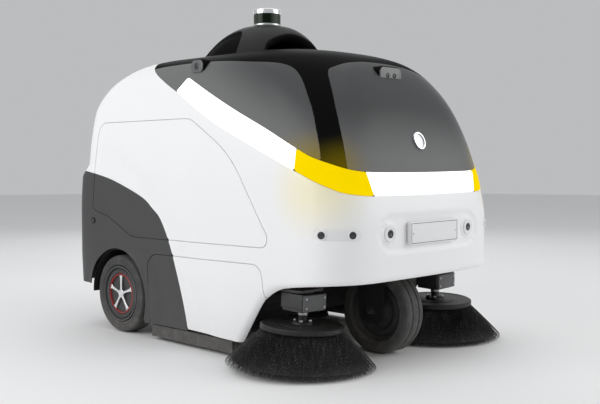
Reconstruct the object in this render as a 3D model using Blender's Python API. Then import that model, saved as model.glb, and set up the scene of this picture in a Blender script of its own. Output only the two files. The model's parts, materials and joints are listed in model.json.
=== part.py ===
"""Commercial robotic floor sweeper, modelled as separate sub-parts.

Units are metres and +Z is up.  The machine faces -Y and stands on z = 0, with the middle of its
bounding box on the Z axis.  One lofted hull gives every body panel its shape: a panel is the part of
the hull's skin that lies inside an outline drawn in the side view (y, z) or in the front view (x, z).
"""
import math

import bmesh
import bpy
import numpy as np
from mathutils import Matrix, Vector

# ---------------------------------------------------------------- driving dimensions
# Hull stations: height, half width, front y, rear y, size of the front corner
STATIONS = (
    (0.050, 0.438, -0.705, 0.730, 0.200),
    (0.200, 0.445, -0.720, 0.737, 0.200),
    (0.300, 0.448, -0.727, 0.740, 0.200),
    (0.450, 0.448, -0.729, 0.740, 0.200),
    (0.600, 0.444, -0.709, 0.735, 0.215),
    (0.660, 0.440, -0.693, 0.689, 0.225),
    (0.740, 0.432, -0.669, 0.687, 0.235),
    (0.860, 0.412, -0.618, 0.680, 0.250),
    (0.950, 0.384, -0.555, 0.625, 0.260),
    (1.010, 0.350, -0.485, 0.530, 0.260),
    (1.045, 0.300, -0.405, 0.435, 0.260),
    (1.066, 0.210, -0.275, 0.315, 0.260),
    (1.075, 0.000, -0.035, 0.165, 0.200),
)
HULL_LEVELS = (0.05, 0.12, 0.20, 0.30, 0.40, 0.50, 0.58, 0.62, 0.66, 0.72, 0.79, 0.86, 0.92, 0.97, 1.01,
               1.035, 1.053, 1.065, 1.072)
REAR_CORNER = 0.085      # size of the hull's rear corners
CORNER_POWER = 2.6       # superellipse exponent of all four corners
NOSE_BOW = 0.020         # how far the nose bows forward in the middle
SKIN = 0.005             # thickness of the body panels
SEAM = 0.003             # gap between two neighbouring panels
FIT = 0.0003             # gap between touching parts
FAR = 0.85               # past the hull on every side

NOSE_Y = -0.740          # front of the number plate, the foremost point of the machine
PLATE_BACK_Y = -0.7296
WHEEL_RADIUS = 0.150
REAR_WHEEL = Vector((0.395, 0.445, WHEEL_RADIUS))
REAR_TYRE_WIDTH = 0.088
ARCH_RADIUS = 0.178
FRONT_WHEEL_RADIUS = 0.1475
FRONT_WHEEL = Vector((0.0, -0.518, FRONT_WHEEL_RADIUS))
FRONT_TYRE_WIDTH = 0.098
FORK_GAP = 0.057         # from the wheel's middle to the inner face of a fork plate
FORK_PLATE = 0.007
FORK_TOP = 0.322
KINGPIN_TOP = 0.420

BRUSH = Vector((0.368, -0.476, 0.0))
BRUSH_RADIUS = 0.246
BRUSH_TILT = math.radians(2.5)
BRUSH_DISC_RADIUS = 0.137
BRUSH_DISC_TOP = 0.143
BRUSH_PIVOT = Vector((0.322, -0.230, 0.292))

ROLLER = Vector((0.0, 0.085, 0.1205))
ROLLER_RADIUS = 0.118
ROLLER_HALF = 0.315
SKIRT_FRONT_Y = -0.212   # the rubber side strips start behind the side brushes

LIDAR = Vector((0.0, 0.065, 0.0))
LIDAR_RADIUS = 0.0535
LIDAR_FOOT = 1.188
LIDAR_WINDOW = (1.1985, 1.2355)
LIDAR_TOP = 1.255

HOPPER_HALF = 0.300
HOPPER_Y = (0.235, 0.734)
HOPPER_Z = (0.205, 0.560)
HOPPER_WALL = 0.006

UPPER_HINGE = (0.4215, 0.8195)   # x and z of the doors' hinge lines
LOWER_HINGE = (0.4495, 0.3290)
ESTOP = Vector((0.365, 0.0, 0.500))

DOME_HALF = (0.217, 0.219)       # foot of the lidar bridge
DOME_Y = 0.094
DOME_Z = (1.030, 1.187)
DOME_RECESS = 0.955              # size of the side recesses' floor, as a share of the bridge
MOTOR_HALF = (0.057, 0.050)      # side brush gearbox
MOTOR_Z = (0.186, 0.246)
MOTOR_CAN = (0.036, 0.298)       # radius and top of the motor above it
ARM_SEAT = 0.252

SIDES = (("left", -1.0), ("right", 1.0))

# ---------------------------------------------------------------- materials
# name: colour (linear RGB), roughness, metallic, emission strength
FINISHES = {
    "white_paint": ((0.86, 0.87, 0.88), 0.28, 0.0, 0.0),
    "grey_paint": ((0.060, 0.060, 0.062), 0.45, 0.0, 0.0),
    "gloss_black": ((0.008, 0.008, 0.009), 0.12, 0.0, 0.0),
    "tinted_glass": ((0.090, 0.092, 0.095), 0.10, 0.0, 0.0),
    "white_light": ((0.95, 0.96, 0.97), 0.30, 0.0, 1.0),
    "yellow_light": ((0.98, 0.72, 0.01), 0.30, 0.0, 0.8),
    "green_glass": ((0.010, 0.030, 0.014), 0.08, 0.0, 0.0),
    "satin_steel": ((0.55, 0.56, 0.57), 0.30, 1.0, 0.0),
    "bright_metal": ((0.80, 0.81, 0.82), 0.22, 1.0, 0.0),
    "dark_steel": ((0.055, 0.056, 0.058), 0.50, 0.3, 0.0),
    "black_plastic": ((0.018, 0.018, 0.019), 0.55, 0.0, 0.0),
    "tyre_rubber": ((0.035, 0.035, 0.036), 0.75, 0.0, 0.0),
    "bristle_nylon": ((0.012, 0.012, 0.013), 0.65, 0.0, 0.0),
    "white_plastic": ((0.80, 0.81, 0.82), 0.40, 0.0, 0.0),
    "lens_glass": ((0.012, 0.013, 0.016), 0.08, 0.0, 0.0),
    "red_plastic": ((0.60, 0.012, 0.010), 0.35, 0.0, 0.0),
    "battery_case": ((0.030, 0.045, 0.075), 0.50, 0.0, 0.0),
}


def clear_scene():
    """Remove every object that the opened file holds."""
    for item in list(bpy.data.objects):
        bpy.data.objects.remove(item, do_unlink=True)


def finish_material(name):
    """Return the Principled material of that name, made on first use."""
    if name in bpy.data.materials:
        return bpy.data.materials[name]
    colour, roughness, metallic, glow = FINISHES[name]
    material = bpy.data.materials.new(name)
    material.use_nodes = True
    material.diffuse_color = (*colour, 1.0)
    shader = material.node_tree.nodes["Principled BSDF"]
    shader.inputs["Base Color"].default_value = (*colour, 1.0)
    shader.inputs["Roughness"].default_value = roughness
    shader.inputs["Metallic"].default_value = metallic
    shader.inputs["Emission Color"].default_value = (*colour, 1.0)
    shader.inputs["Emission Strength"].default_value = glow
    return material


# ---------------------------------------------------------------- curves and outlines
def monotone(knots, values, at):
    """Monotone cubic through the knots (Fritsch and Carlson), read at one or more places."""
    knots, values, at = np.asarray(knots), np.asarray(values), np.asarray(at, dtype=float)
    step = np.diff(knots)
    slope = np.diff(values) / step
    tangent = np.zeros(len(knots))
    same_way = slope[:-1] * slope[1:] > 0.0
    early, late = 2 * step[1:] + step[:-1], step[1:] + 2 * step[:-1]
    safe = np.where(same_way, slope[:-1], 1.0), np.where(same_way, slope[1:], 1.0)
    tangent[1:-1] = np.where(same_way, (early + late) / (early / safe[0] + late / safe[1]), 0.0)
    tangent[0], tangent[-1] = slope[0], slope[-1]
    index = np.clip(np.searchsorted(knots, at, side="right") - 1, 0, len(step) - 1)
    t = (at - knots[index]) / step[index]
    return ((1 + 2 * t) * (1 - t) ** 2 * values[index] + t * (1 - t) ** 2 * step[index] * tangent[index]
            + t * t * (3 - 2 * t) * values[index + 1] + t * t * (t - 1) * step[index] * tangent[index + 1])


def station(height):
    """Half width, front y, rear y and front corner size of the hull at a height."""
    table = np.array(STATIONS)
    return [float(monotone(table[:, 0], table[:, column], height)) for column in range(1, 5)]


def spline(points, steps=4):
    """Catmull-Rom curve through the points."""
    points = [Vector(point) for point in points]
    ends = [2 * points[0] - points[1], *points, 2 * points[-1] - points[-2]]
    curve = []
    for i in range(len(points) - 1):
        a, b, c, d = ends[i:i + 4]
        for k in range(steps):
            t = k / steps
            curve.append(0.5 * (2 * b + (c - a) * t + (2 * a - 5 * b + 4 * c - d) * t * t
                                + (3 * b - a - 3 * c + d) * t ** 3))
    curve.append(points[-1])
    return [tuple(point) for point in curve]


def rounded(corners, steps=5):
    """Closed outline with every corner (u, v, radius) replaced by an arc."""
    outline = []
    for i, (u, v, radius) in enumerate(corners):
        corner = Vector((u, v))
        before = (Vector(corners[i - 1][:2]) - corner).normalized()
        after = (Vector(corners[(i + 1) % len(corners)][:2]) - corner).normalized()
        half = before.angle(after) / 2
        if radius <= 0.0 or half > math.radians(89):
            outline.append((u, v))
            continue
        centre = corner + (before + after).normalized() * (radius / math.sin(half))
        start = corner + before * (radius / math.tan(half)) - centre
        sweep = before.angle(after) - math.pi
        turn = math.copysign(1.0, before.x * after.y - before.y * after.x)
        for k in range(steps + 1):
            arm = start.copy()
            arm.rotate(Matrix.Rotation(turn * sweep * k / steps, 2))
            outline.append(tuple(centre + arm))
    return outline


def arc(centre, radius, start, end, steps):
    """Points of an arc, angles in degrees."""
    angles = [math.radians(start + (end - start) * k / steps) for k in range(steps + 1)]
    return [(centre[0] + radius * math.cos(a), centre[1] + radius * math.sin(a)) for a in angles]


def pill(centre, length, height, steps=8):
    """Outline of a slot with round ends."""
    u, v = centre
    reach = (length - height) / 2
    return (arc((u + reach, v), height / 2, -90, 90, steps)
            + arc((u - reach, v), height / 2, 90, 270, steps))


def grown(outline, distance):
    """The outline moved outwards by a distance, or inwards where it is negative."""
    points = np.array(outline)
    behind, ahead = points - np.roll(points, 1, axis=0), np.roll(points, -1, axis=0) - points
    area = np.sum(points[:, 0] * np.roll(points[:, 1], -1) - np.roll(points[:, 0], -1) * points[:, 1])
    normals = []
    for edge in (behind, ahead):
        length = np.maximum(np.linalg.norm(edge, axis=1, keepdims=True), 1e-9)
        normals.append(np.stack([edge[:, 1], -edge[:, 0]], axis=1) / length * math.copysign(1.0, area))
    middle = normals[0] + normals[1]
    middle /= np.maximum(np.sum(middle * middle, axis=1, keepdims=True) / 2, 0.35)
    return [tuple(point) for point in points + middle * distance]


# ---------------------------------------------------------------- solids
def solid(name, points, faces):
    """A mesh object with its faces turned outwards."""
    mesh = bpy.data.meshes.new(name)
    mesh.from_pydata([tuple(point) for point in points], [], faces)
    shape = bmesh.new()
    shape.from_mesh(mesh)
    bmesh.ops.recalc_face_normals(shape, faces=shape.faces)
    shape.to_mesh(mesh)
    shape.free()
    item = bpy.data.objects.new(name, mesh)
    bpy.context.collection.objects.link(item)
    return item


def loft(name, rings):
    """A closed solid through rings of equally many points, with flat ends."""
    count = len(rings[0])
    points = [point for ring in rings for point in ring]
    faces = [tuple(range(count)), tuple(range(len(points) - count, len(points)))]
    for level in range(len(rings) - 1):
        low = level * count
        faces += [(low + i, low + (i + 1) % count, low + count + (i + 1) % count, low + count + i)
                  for i in range(count)]
    return solid(name, points, faces)


def prism(name, outline, axis, low, high):
    """An outline extruded along X, Y or Z; it is drawn in (y, z), (x, z) or (x, y)."""
    place = {"X": lambda u, v, w: (w, u, v), "Y": lambda u, v, w: (u, w, v), "Z": lambda u, v, w: (u, v, w)}[axis]
    return loft(name, [[place(u, v, w) for u, v in outline] for w in (low, high)])


def box(name, low, high):
    """A box between two corners."""
    outline = [(low[0], low[1]), (high[0], low[1]), (high[0], high[1]), (low[0], high[1])]
    return prism(name, outline, "Z", low[2], high[2])


def turned(name, profile, axis="Z", centre=(0, 0, 0), segments=28):
    """A solid of revolution from a closed profile of (radius, distance along the axis)."""
    rings, points, faces = [], [], []
    for radius, along in profile:
        if radius < 1e-7:
            rings.append([len(points)] * segments)
            points.append((0.0, 0.0, along))
            continue
        rings.append(list(range(len(points), len(points) + segments)))
        points += [(radius * math.cos(math.tau * k / segments), radius * math.sin(math.tau * k / segments), along)
                   for k in range(segments)]
    for ring, following in zip(rings, rings[1:] + rings[:1]):
        for k in range(segments):
            after = (k + 1) % segments
            corners = dict.fromkeys((ring[k], ring[after], following[after], following[k]))
            if len(corners) > 2:
                faces.append(tuple(corners))
    turn = {"Z": Matrix(), "X": Matrix.Rotation(math.pi / 2, 4, "Y"), "Y": Matrix.Rotation(-math.pi / 2, 4, "X")}[axis]
    place = Matrix.Translation(Vector(centre)) @ turn
    return solid(name, [place @ Vector(point) for point in points], faces)


def bake(item):
    """Replace an object's mesh with what its modifiers make of it."""
    seen = item.evaluated_get(bpy.context.evaluated_depsgraph_get())
    mesh = bpy.data.meshes.new_from_object(seen)
    item.modifiers.clear()
    item.data = mesh
    return item


def combine(item, operation, *tools):
    """Boolean of an object with each tool in turn; the tools are used up."""
    for tool in tools:
        step = item.modifiers.new("cut", "BOOLEAN")
        step.operation = operation
        step.object = tool
        bake(item)
        bpy.data.objects.remove(tool, do_unlink=True)
    return item


def copied(item, name):
    """A copy of an object with a mesh of its own."""
    twin = bpy.data.objects.new(name, item.data.copy())
    bpy.context.collection.objects.link(twin)
    return twin


def softened(item, width, segments=2, angle=40):
    """Round the sharp edges of an object."""
    step = item.modifiers.new("soften", "BEVEL")
    step.width = width
    step.segments = segments
    step.limit_method = "ANGLE"
    step.angle_limit = math.radians(angle)
    return bake(item)


def part(item, material, origin=None):
    """Finish a sub-part: its material, smooth shading and the place of its origin."""
    mesh = item.data
    mesh.materials.clear()
    mesh.materials.append(finish_material(material))
    mesh.shade_smooth()
    mesh.set_sharp_from_angle(angle=math.radians(35))
    if origin is not None:
        mesh.transform(Matrix.Translation(-Vector(origin)))
        item.location = origin
    return item


# ---------------------------------------------------------------- hull
def hull_ring(height, offset=0.0):
    """One level of the hull as points, moved outwards by an offset."""
    width, front, rear, corner = station(height)
    corner = min(corner, width * 0.95)
    back = min(REAR_CORNER, width * 0.5)
    power = 2.0 / CORNER_POWER
    rear_turn = np.linspace(0.0, math.pi / 2, 6)
    nose_turn = np.linspace(0.0, math.pi / 2, 10)
    rear_x = width - back + back * np.sin(rear_turn) ** power
    rear_y = rear - back + back * np.cos(rear_turn) ** power
    nose_x = width - corner + corner * np.cos(nose_turn) ** power
    nose_y = front + corner - corner * np.sin(nose_turn) ** power
    flank_y = np.linspace(rear - back, front + corner, 6)[1:-1]
    face_x = np.linspace(width - corner, 0.0, 5)[1:]
    x = np.concatenate([[0.0], rear_x, np.full(4, width), nose_x, face_x])
    y = np.concatenate([[rear], rear_y, flank_y, nose_y, np.full(4, front)])
    ahead = np.clip((front + corner - y) / corner, 0.0, 1.0) * (y < 0.0)
    y = y + NOSE_BOW * (x / width) ** 2 * ahead
    x, y = np.concatenate([x, -x[-2:0:-1]]), np.concatenate([y, y[-2:0:-1]])
    along = np.stack([np.roll(x, -1) - np.roll(x, 1), np.roll(y, -1) - np.roll(y, 1)])
    along /= np.linalg.norm(along, axis=0)
    return np.stack([x - along[1] * offset, y + along[0] * offset, np.full_like(x, height)], axis=1)


def hull(name, offset=0.0):
    """The closed hull, moved outwards by an offset (inwards where it is negative)."""
    rings = []
    for height in HULL_LEVELS:
        flare = np.clip((height - 0.86) / 0.22, 0.0, 1.0)
        ring = hull_ring(height, offset * (1.0 + 0.6 * flare))
        ring[:, 2] += offset * flare ** 0.5
        rings.append(ring)
    rings[0][:, 2] += -0.05 if offset < 0.0 else 0.0
    return loft(name, rings)


COLOUR_BREAK = spline([(0.022, 0.030), (0.052, 0.172), (0.107, 0.335), (0.170, 0.449), (0.281, 0.528),
                       (0.398, 0.568), (0.521, 0.601), (0.665, 0.626), (FAR, 0.634)])
BAND_TOP = spline([(0.085, 0.972), (-0.189, 0.852), (-0.380, 0.773), (-0.513, 0.712), (-0.567, 0.685),
                   (-0.624, 0.662), (-0.684, 0.637), (-0.740, 0.628), (-FAR, 0.627)])
BAND_BOTTOM = spline([(0.132, 0.922), (-0.106, 0.804), (-0.301, 0.725), (-0.522, 0.638), (-0.590, 0.608),
                      (-0.638, 0.586), (-0.674, 0.570), (-0.740, 0.555), (-FAR, 0.553)])
NOTCH = [(0.132, 0.922), (0.340, 1.026), (0.450, 1.120)]
SILL = [(-FAR, 0.288), (-0.612, 0.281), (-0.504, 0.268), (-0.442, 0.252), (-0.390, 0.222), (-0.348, 0.172),
        (-0.305, 0.111), (-0.268, 0.058), (0.027, 0.056)]
UPPER_DOOR = rounded([(0.590, 0.818, 0.045), (0.020, 0.820, 0.12), (-0.215, 0.690, 0.45), (-0.430, 0.388, 0.03),
                      (0.350, 0.378, 0.16), (0.520, 0.452, 0.12), (0.610, 0.474, 0.02)])
LOWER_DOOR = rounded([(-0.372, 0.331, 0.045), (0.250, 0.322, 0.05), (0.250, 0.020, 0.0), (-0.240, 0.020, 0.0),
                      (-0.268, 0.058, 0.0), (-0.305, 0.111, 0.0), (-0.348, 0.172, 0.0), (-0.386, 0.218, 0.0)])
WINDSHIELD = [(-0.354, 0.600), (-0.350, 0.654), (-0.343, 0.716), (-0.335, 0.778), (-0.320, 0.853),
              (-0.294, 0.925), (-0.268, 0.966), (-0.235, 0.981), (-0.168, 0.998), (-0.078, 1.009)]
WINDSHIELD += [(-x, z) for x, z in reversed(WINDSHIELD)]
SIDE_WINDOW = [(0.330, 1.021), (0.257, 1.027), (0.082, 1.029), (-0.070, 1.023), (-0.217, 1.009),
               (-0.340, 0.997), (-0.402, 0.982), (-0.443, 0.958), (-0.487, 0.912), (-0.534, 0.842),
               (-0.564, 0.778), (-0.592, 0.705), (-0.612, 0.620), (0.020, 0.620), (0.132, 0.800), (0.200, 0.950)]
ARCH = arc((REAR_WHEEL.y, REAR_WHEEL.z), ARCH_RADIUS, 8, 205, 14)
TURN_LIGHT_REAR_Y = -0.518
TURN_LIGHT_INNER = ((-0.294, 0.660), (-0.294, 0.637), (-0.276, 0.556), (-0.270, 0.530))


def side_panel(name, shell, outline, sign):
    """The part of the shell inside a side-view outline, on one side of the machine only."""
    low, high = (0.05, FAR) if sign > 0 else (-FAR, -0.05)
    return combine(copied(shell, name), "INTERSECT", prism("tool", outline, "X", low, high))


def build_panels(shell):
    """White and grey body shells, doors, light band, canopy and glass."""
    across = (-FAR, FAR)
    half = SEAM / 2
    band = BAND_TOP + BAND_BOTTOM[::-1]
    below_band = (SILL + COLOUR_BREAK[3:] + [(FAR, 1.12), (0.45, 1.12)] + NOTCH[1::-1] + BAND_BOTTOM[1:])
    above_band = BAND_TOP[::-1] + NOTCH + [(-FAR, 1.12)]
    below_break = (COLOUR_BREAK[::-1][:-2] + [(0.027, 0.056), (0.272, 0.056)] + ARCH[::-1]
                   + [(0.640, 0.176), (FAR, 0.178)])

    white = combine(copied(shell, "body_shell"), "INTERSECT", prism("tool", grown(below_band, -half), "X", *across))
    grey = combine(copied(shell, "rear_lower_shell"), "INTERSECT",
                   prism("tool", grown(below_break, -half), "X", *across))
    for outline in (UPPER_DOOR, LOWER_DOOR):
        for item in (white, grey):
            combine(item, "DIFFERENCE", prism("tool", grown(outline, half), "X", *across))
    combine(grey, "DIFFERENCE", box("tool", (-HOPPER_HALF - SEAM, 0.60, HOPPER_Z[0] - SEAM),
                                    (HOPPER_HALF + SEAM, FAR, HOPPER_Z[1] + SEAM)))
    combine(grey, "DIFFERENCE", turned("tool", [(0, 0.6), (0.0135, 0.6), (0.0135, 0.8), (0, 0.8)], "Y",
                                       (ESTOP.x, 0.0, ESTOP.z), 16))
    part(white, "white_paint")
    part(grey, "grey_paint")

    canopy = combine(copied(shell, "canopy_frame"), "INTERSECT",
                     prism("tool", grown(above_band, -half), "X", *across))
    glass = copied(canopy, "windshield")
    combine(glass, "INTERSECT", prism("tool", WINDSHIELD, "Y", -FAR, -0.25))
    combine(canopy, "DIFFERENCE", prism("tool", grown(WINDSHIELD, SEAM), "Y", -FAR, -0.25))
    for side, sign in SIDES:
        pane = side_panel("side_window_" + side, glass_source(shell, above_band), SIDE_WINDOW, sign)
        combine(pane, "DIFFERENCE", prism("tool", grown(WINDSHIELD, 0.030), "Y", -FAR, -0.25))
        part(pane, "tinted_glass")
    combine(canopy, "DIFFERENCE", prism("tool", grown(SIDE_WINDOW, SEAM), "X", 0.20, FAR),
            prism("tool", grown(SIDE_WINDOW, SEAM), "X", -FAR, -0.20))
    part(canopy, "gloss_black")
    part(glass, "tinted_glass")

    strip = combine(copied(shell, "strip"), "INTERSECT", prism("tool", grown(band, -half), "X", *across))
    inner = list(TURN_LIGHT_INNER) + [(-x, z) for x, z in reversed(TURN_LIGHT_INNER)]
    front = combine(copied(strip, "light_bar_front"), "INTERSECT", prism("tool", inner, "Y", -FAR, -0.3))
    part(front, "white_light")
    for side, sign in SIDES:
        low, high = (0.05, FAR) if sign > 0 else (-FAR, -0.05)
        bar = combine(copied(strip, "light_bar_" + side), "INTERSECT",
                      box("tool", (low, TURN_LIGHT_REAR_Y, 0.5), (high, FAR, 1.1)))
        part(bar, "white_light")
        turn = combine(copied(strip, "turn_light_" + side), "INTERSECT",
                       box("tool", (low, -FAR, 0.5), (high, TURN_LIGHT_REAR_Y - 0.001, 1.1)))
        combine(turn, "DIFFERENCE", prism("tool", grown(inner, 0.001), "Y", -FAR, -0.3))
        part(turn, "yellow_light")
    bpy.data.objects.remove(strip, do_unlink=True)


def glass_source(shell, above_band):
    """The canopy's skin before any window is cut."""
    if "glass_source" not in bpy.data.objects:
        source = combine(copied(shell, "glass_source"), "INTERSECT",
                         prism("tool", grown(above_band, -SEAM / 2), "X", -FAR, FAR))
        source.hide_render = True
        source.display_type = "WIRE"
    return bpy.data.objects["glass_source"]


def build_doors(shell):
    """Upper and lower service doors, hinged along their top edges."""
    for side, sign in SIDES:
        for level, outline, hinge in (("upper", UPPER_DOOR, UPPER_HINGE), ("lower", LOWER_DOOR, LOWER_HINGE)):
            outline = [(y, max(z, 0.057)) for y, z in outline]
            door = side_panel(f"{level}_door_{side}", shell, grown(outline, -SEAM / 2), sign)
            part(door, "white_paint", (sign * hinge[0], 0.0, hinge[1]))


# ---------------------------------------------------------------- roof
def dome_loft(name, share):
    """The lidar bridge's outer form: rounded squares that shrink to a circle under the lidar."""
    rings = []
    top = 0.062
    for level in (0.0, 0.25, 0.5, 0.72, 0.88, 0.97, 1.0):
        spread = math.sqrt(max(1.0 - level ** 1.7, 0.0)) * 0.80 + 0.20 * (1.0 - level)
        half_x, half_y = (share * (top + (half - top) * spread) for half in DOME_HALF)
        angles = np.linspace(0.0, math.tau, 32, endpoint=False)
        power = 2.0 / (2.0 + 1.2 * spread)
        x = half_x * np.sign(np.cos(angles)) * np.abs(np.cos(angles)) ** power
        y = half_y * np.sign(np.sin(angles)) * np.abs(np.sin(angles)) ** power
        middle = DOME_Y + (LIDAR.y - DOME_Y) * level
        rise = (DOME_Z[1] - DOME_Z[0]) - (1.0 - share) * 0.16
        rings.append(np.stack([x, middle + y, np.full(32, DOME_Z[0] + rise * level)], axis=1))
    return loft(name, rings)


def build_roof():
    """Lidar bridge, lidar, camera pods and the generic badge."""
    dome = dome_loft("roof_dome", 1.0)
    combine(dome, "DIFFERENCE", hull("tool", FIT))
    arch = spline([(-0.168, 0.985), (-0.160, 1.060), (-0.118, 1.118), (0.0, 1.150), (0.118, 1.118),
                   (0.160, 1.060), (0.168, 0.985)])
    combine(dome, "DIFFERENCE", prism("tool", arch, "Y", -0.30, 0.45))
    recess = spline([(0.018, 0.985), (0.022, 1.060), (0.034, 1.120), (0.062, 1.158), (0.105, 1.160), (0.175, 1.136),
                     (0.232, 1.085), (0.255, 0.985)])
    for low, high in ((0.040, 0.35), (-0.35, -0.040)):
        pocket = prism("tool", recess, "X", low, high)
        combine(pocket, "DIFFERENCE", dome_loft("tool_floor", DOME_RECESS))
        combine(dome, "DIFFERENCE", pocket)
    part(dome, "gloss_black")

    low, high = LIDAR_WINDOW
    radius = LIDAR_RADIUS
    part(turned("lidar_base", [(0, LIDAR_FOOT), (radius, LIDAR_FOOT), (radius, low - FIT), (0, low - FIT)],
                centre=LIDAR), "satin_steel")
    part(turned("lidar_window", [(radius, low), (radius, high), (radius - 0.003, high), (radius - 0.003, low)],
                centre=LIDAR), "green_glass")
    part(turned("lidar_rotor", [(0, low + 0.002), (0.036, low + 0.002), (0.036, high - 0.002), (0, high - 0.002)],
                segments=24), "black_plastic").location = LIDAR
    part(turned("lidar_cap", [(0, high + FIT), (radius, high + FIT), (radius, LIDAR_TOP - 0.004),
                              (radius - 0.004, LIDAR_TOP), (0, LIDAR_TOP)], centre=LIDAR), "bright_metal")

    eye = softened(box("camera_pod_front", (-0.060, -0.568, 0.926), (0.060, -0.440, 0.994)), 0.012)
    part(combine(eye, "DIFFERENCE", hull("tool", FIT)), "gloss_black")
    for side, sign in SIDES:
        low_x, high_x = sorted((sign * 0.300, sign * 0.372))
        pod = softened(box("camera_pod_" + side, (low_x, 0.008, 0.982), (high_x, 0.082, 1.036)), 0.014)
        part(combine(pod, "DIFFERENCE", hull("tool", FIT)), "gloss_black")

    disc = turned("front_badge", [(0, -0.75), (0.029, -0.75), (0.029, -0.60), (0, -0.60)], "Y", (0, 0, 0.738), 24)
    part(combine(combine(disc, "INTERSECT", hull("tool", 0.004)), "DIFFERENCE", hull("tool", FIT)), "bright_metal")


# ---------------------------------------------------------------- nose and flank fittings
def build_fittings():
    """Number plate, distance sensors and the emergency stop button."""
    plate = softened(box("number_plate", (-0.130, NOSE_Y, 0.398), (0.134, PLATE_BACK_Y, 0.473)), 0.003)
    part(plate, "white_plastic")
    for side, sign in SIDES:
        eye = turned("front_sensor_" + side, [(0, -0.80), (0.027, -0.80), (0.027, -0.66), (0, -0.66)], "Y",
                     (sign * 0.216, 0, 0.439), 24)
        part(combine(combine(eye, "INTERSECT", hull("tool", 0.008)), "DIFFERENCE", hull("tool", FIT)),
             "lens_glass")
        pod = prism("sensor_pod_front_" + side, pill((0.0, 0.442), 0.130, 0.034), "Y", -0.12, 0.12)
        pod.data.transform(Matrix.Translation((sign * 0.398, -0.661, 0.0)) @ Matrix.Rotation(sign * math.pi / 4, 4, "Z"))
        part(combine(combine(pod, "INTERSECT", hull("tool", 0.006)), "DIFFERENCE", hull("tool", FIT)),
             "white_plastic")
        low, high = sorted((sign * 0.35, sign * 0.50))
        rear = prism("sensor_pod_rear_" + side, pill((0.606, 0.430), 0.026, 0.0255), "X", low, high)
        part(combine(combine(rear, "INTERSECT", hull("tool", 0.004)), "DIFFERENCE", hull("tool", FIT)),
             "black_plastic")
    stem = turned("estop_button", [(0, 0.690), (0.011, 0.690), (0.011, 0.7395), (0, 0.7395)], "Y", (0, 0, 0), 16)
    part(stem, "red_plastic").location = (ESTOP.x, 0.0, ESTOP.z)


# ---------------------------------------------------------------- wheels
def tyre_profile(radius, bead, width, groove_places):
    """Closed profile of a tyre: flat tread with grooves, round shoulders, open to the rim inside."""
    half = width / 2
    profile = [(bead, -half + 0.010), (bead + 0.012, -half + 0.002), (radius - 0.022, -half),
               (radius - 0.008, -half + 0.004), (radius - 0.001, -half + 0.013)]
    for place in groove_places:
        profile += [(radius, place - 0.0035), (radius - 0.006, place - 0.0015),
                    (radius - 0.006, place + 0.0015), (radius, place + 0.0035)]
    profile += [(r, -along) for r, along in reversed(profile[:5])]
    return profile


def build_rear_wheels():
    """Drive wheels: tyre, rim with hub motor and spoked cap, on a fixed transaxle."""
    bead = 0.108
    for side, sign in SIDES:
        centre = Vector((sign * REAR_WHEEL.x, REAR_WHEEL.y, REAR_WHEEL.z))
        tyre = turned("rear_tyre_" + side, tyre_profile(WHEEL_RADIUS, bead, REAR_TYRE_WIDTH, (-0.016, 0.016)),
                      "X", segments=32)
        part(tyre, "tyre_rubber").location = centre
        face = sign * 0.036
        rim = turned("rear_rim_" + side, [(0, -0.030 * sign), (bead - FIT, -0.034 * sign), (bead - FIT, face),
                                          (0.090, face), (0.086, face - 0.010 * sign), (0, face - 0.010 * sign)],
                     "X", segments=32)
        part(rim, "dark_steel").location = centre
        root = face - sign * (0.010 - FIT)
        cap = turned("hub_cap_" + side, [(0, root), (0.076, root), (0.076, root + 0.007 * sign),
                                         (0.070, root + 0.010 * sign), (0, root + 0.010 * sign)], "X", segments=28)
        for k in range(5):
            spin = Matrix.Rotation(math.tau * (k + 0.5) / 5, 4, "X")
            low, high = sorted((root + 0.004 * sign, root + 0.020 * sign))
            pocket = prism("tool", rounded([(0.012, 0.022, 0.004), (0.026, 0.058, 0.006), (-0.026, 0.058, 0.006),
                                            (-0.012, 0.022, 0.004)], 3), "X", low, high)
            pocket.data.transform(spin)
            combine(cap, "DIFFERENCE", pocket)
        part(cap, "bright_metal").location = centre
    reach = REAR_WHEEL.x - 0.030 - FIT - 0.004
    axle = turned("rear_axle", [(0, -reach), (0.028, -reach), (0.028, -0.10), (0.046, -0.09), (0.046, 0.09),
                                (0.028, 0.10), (0.028, reach), (0, reach)], "X",
                  (0, REAR_WHEEL.y, REAR_WHEEL.z), 24)
    part(axle, "dark_steel")


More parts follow.
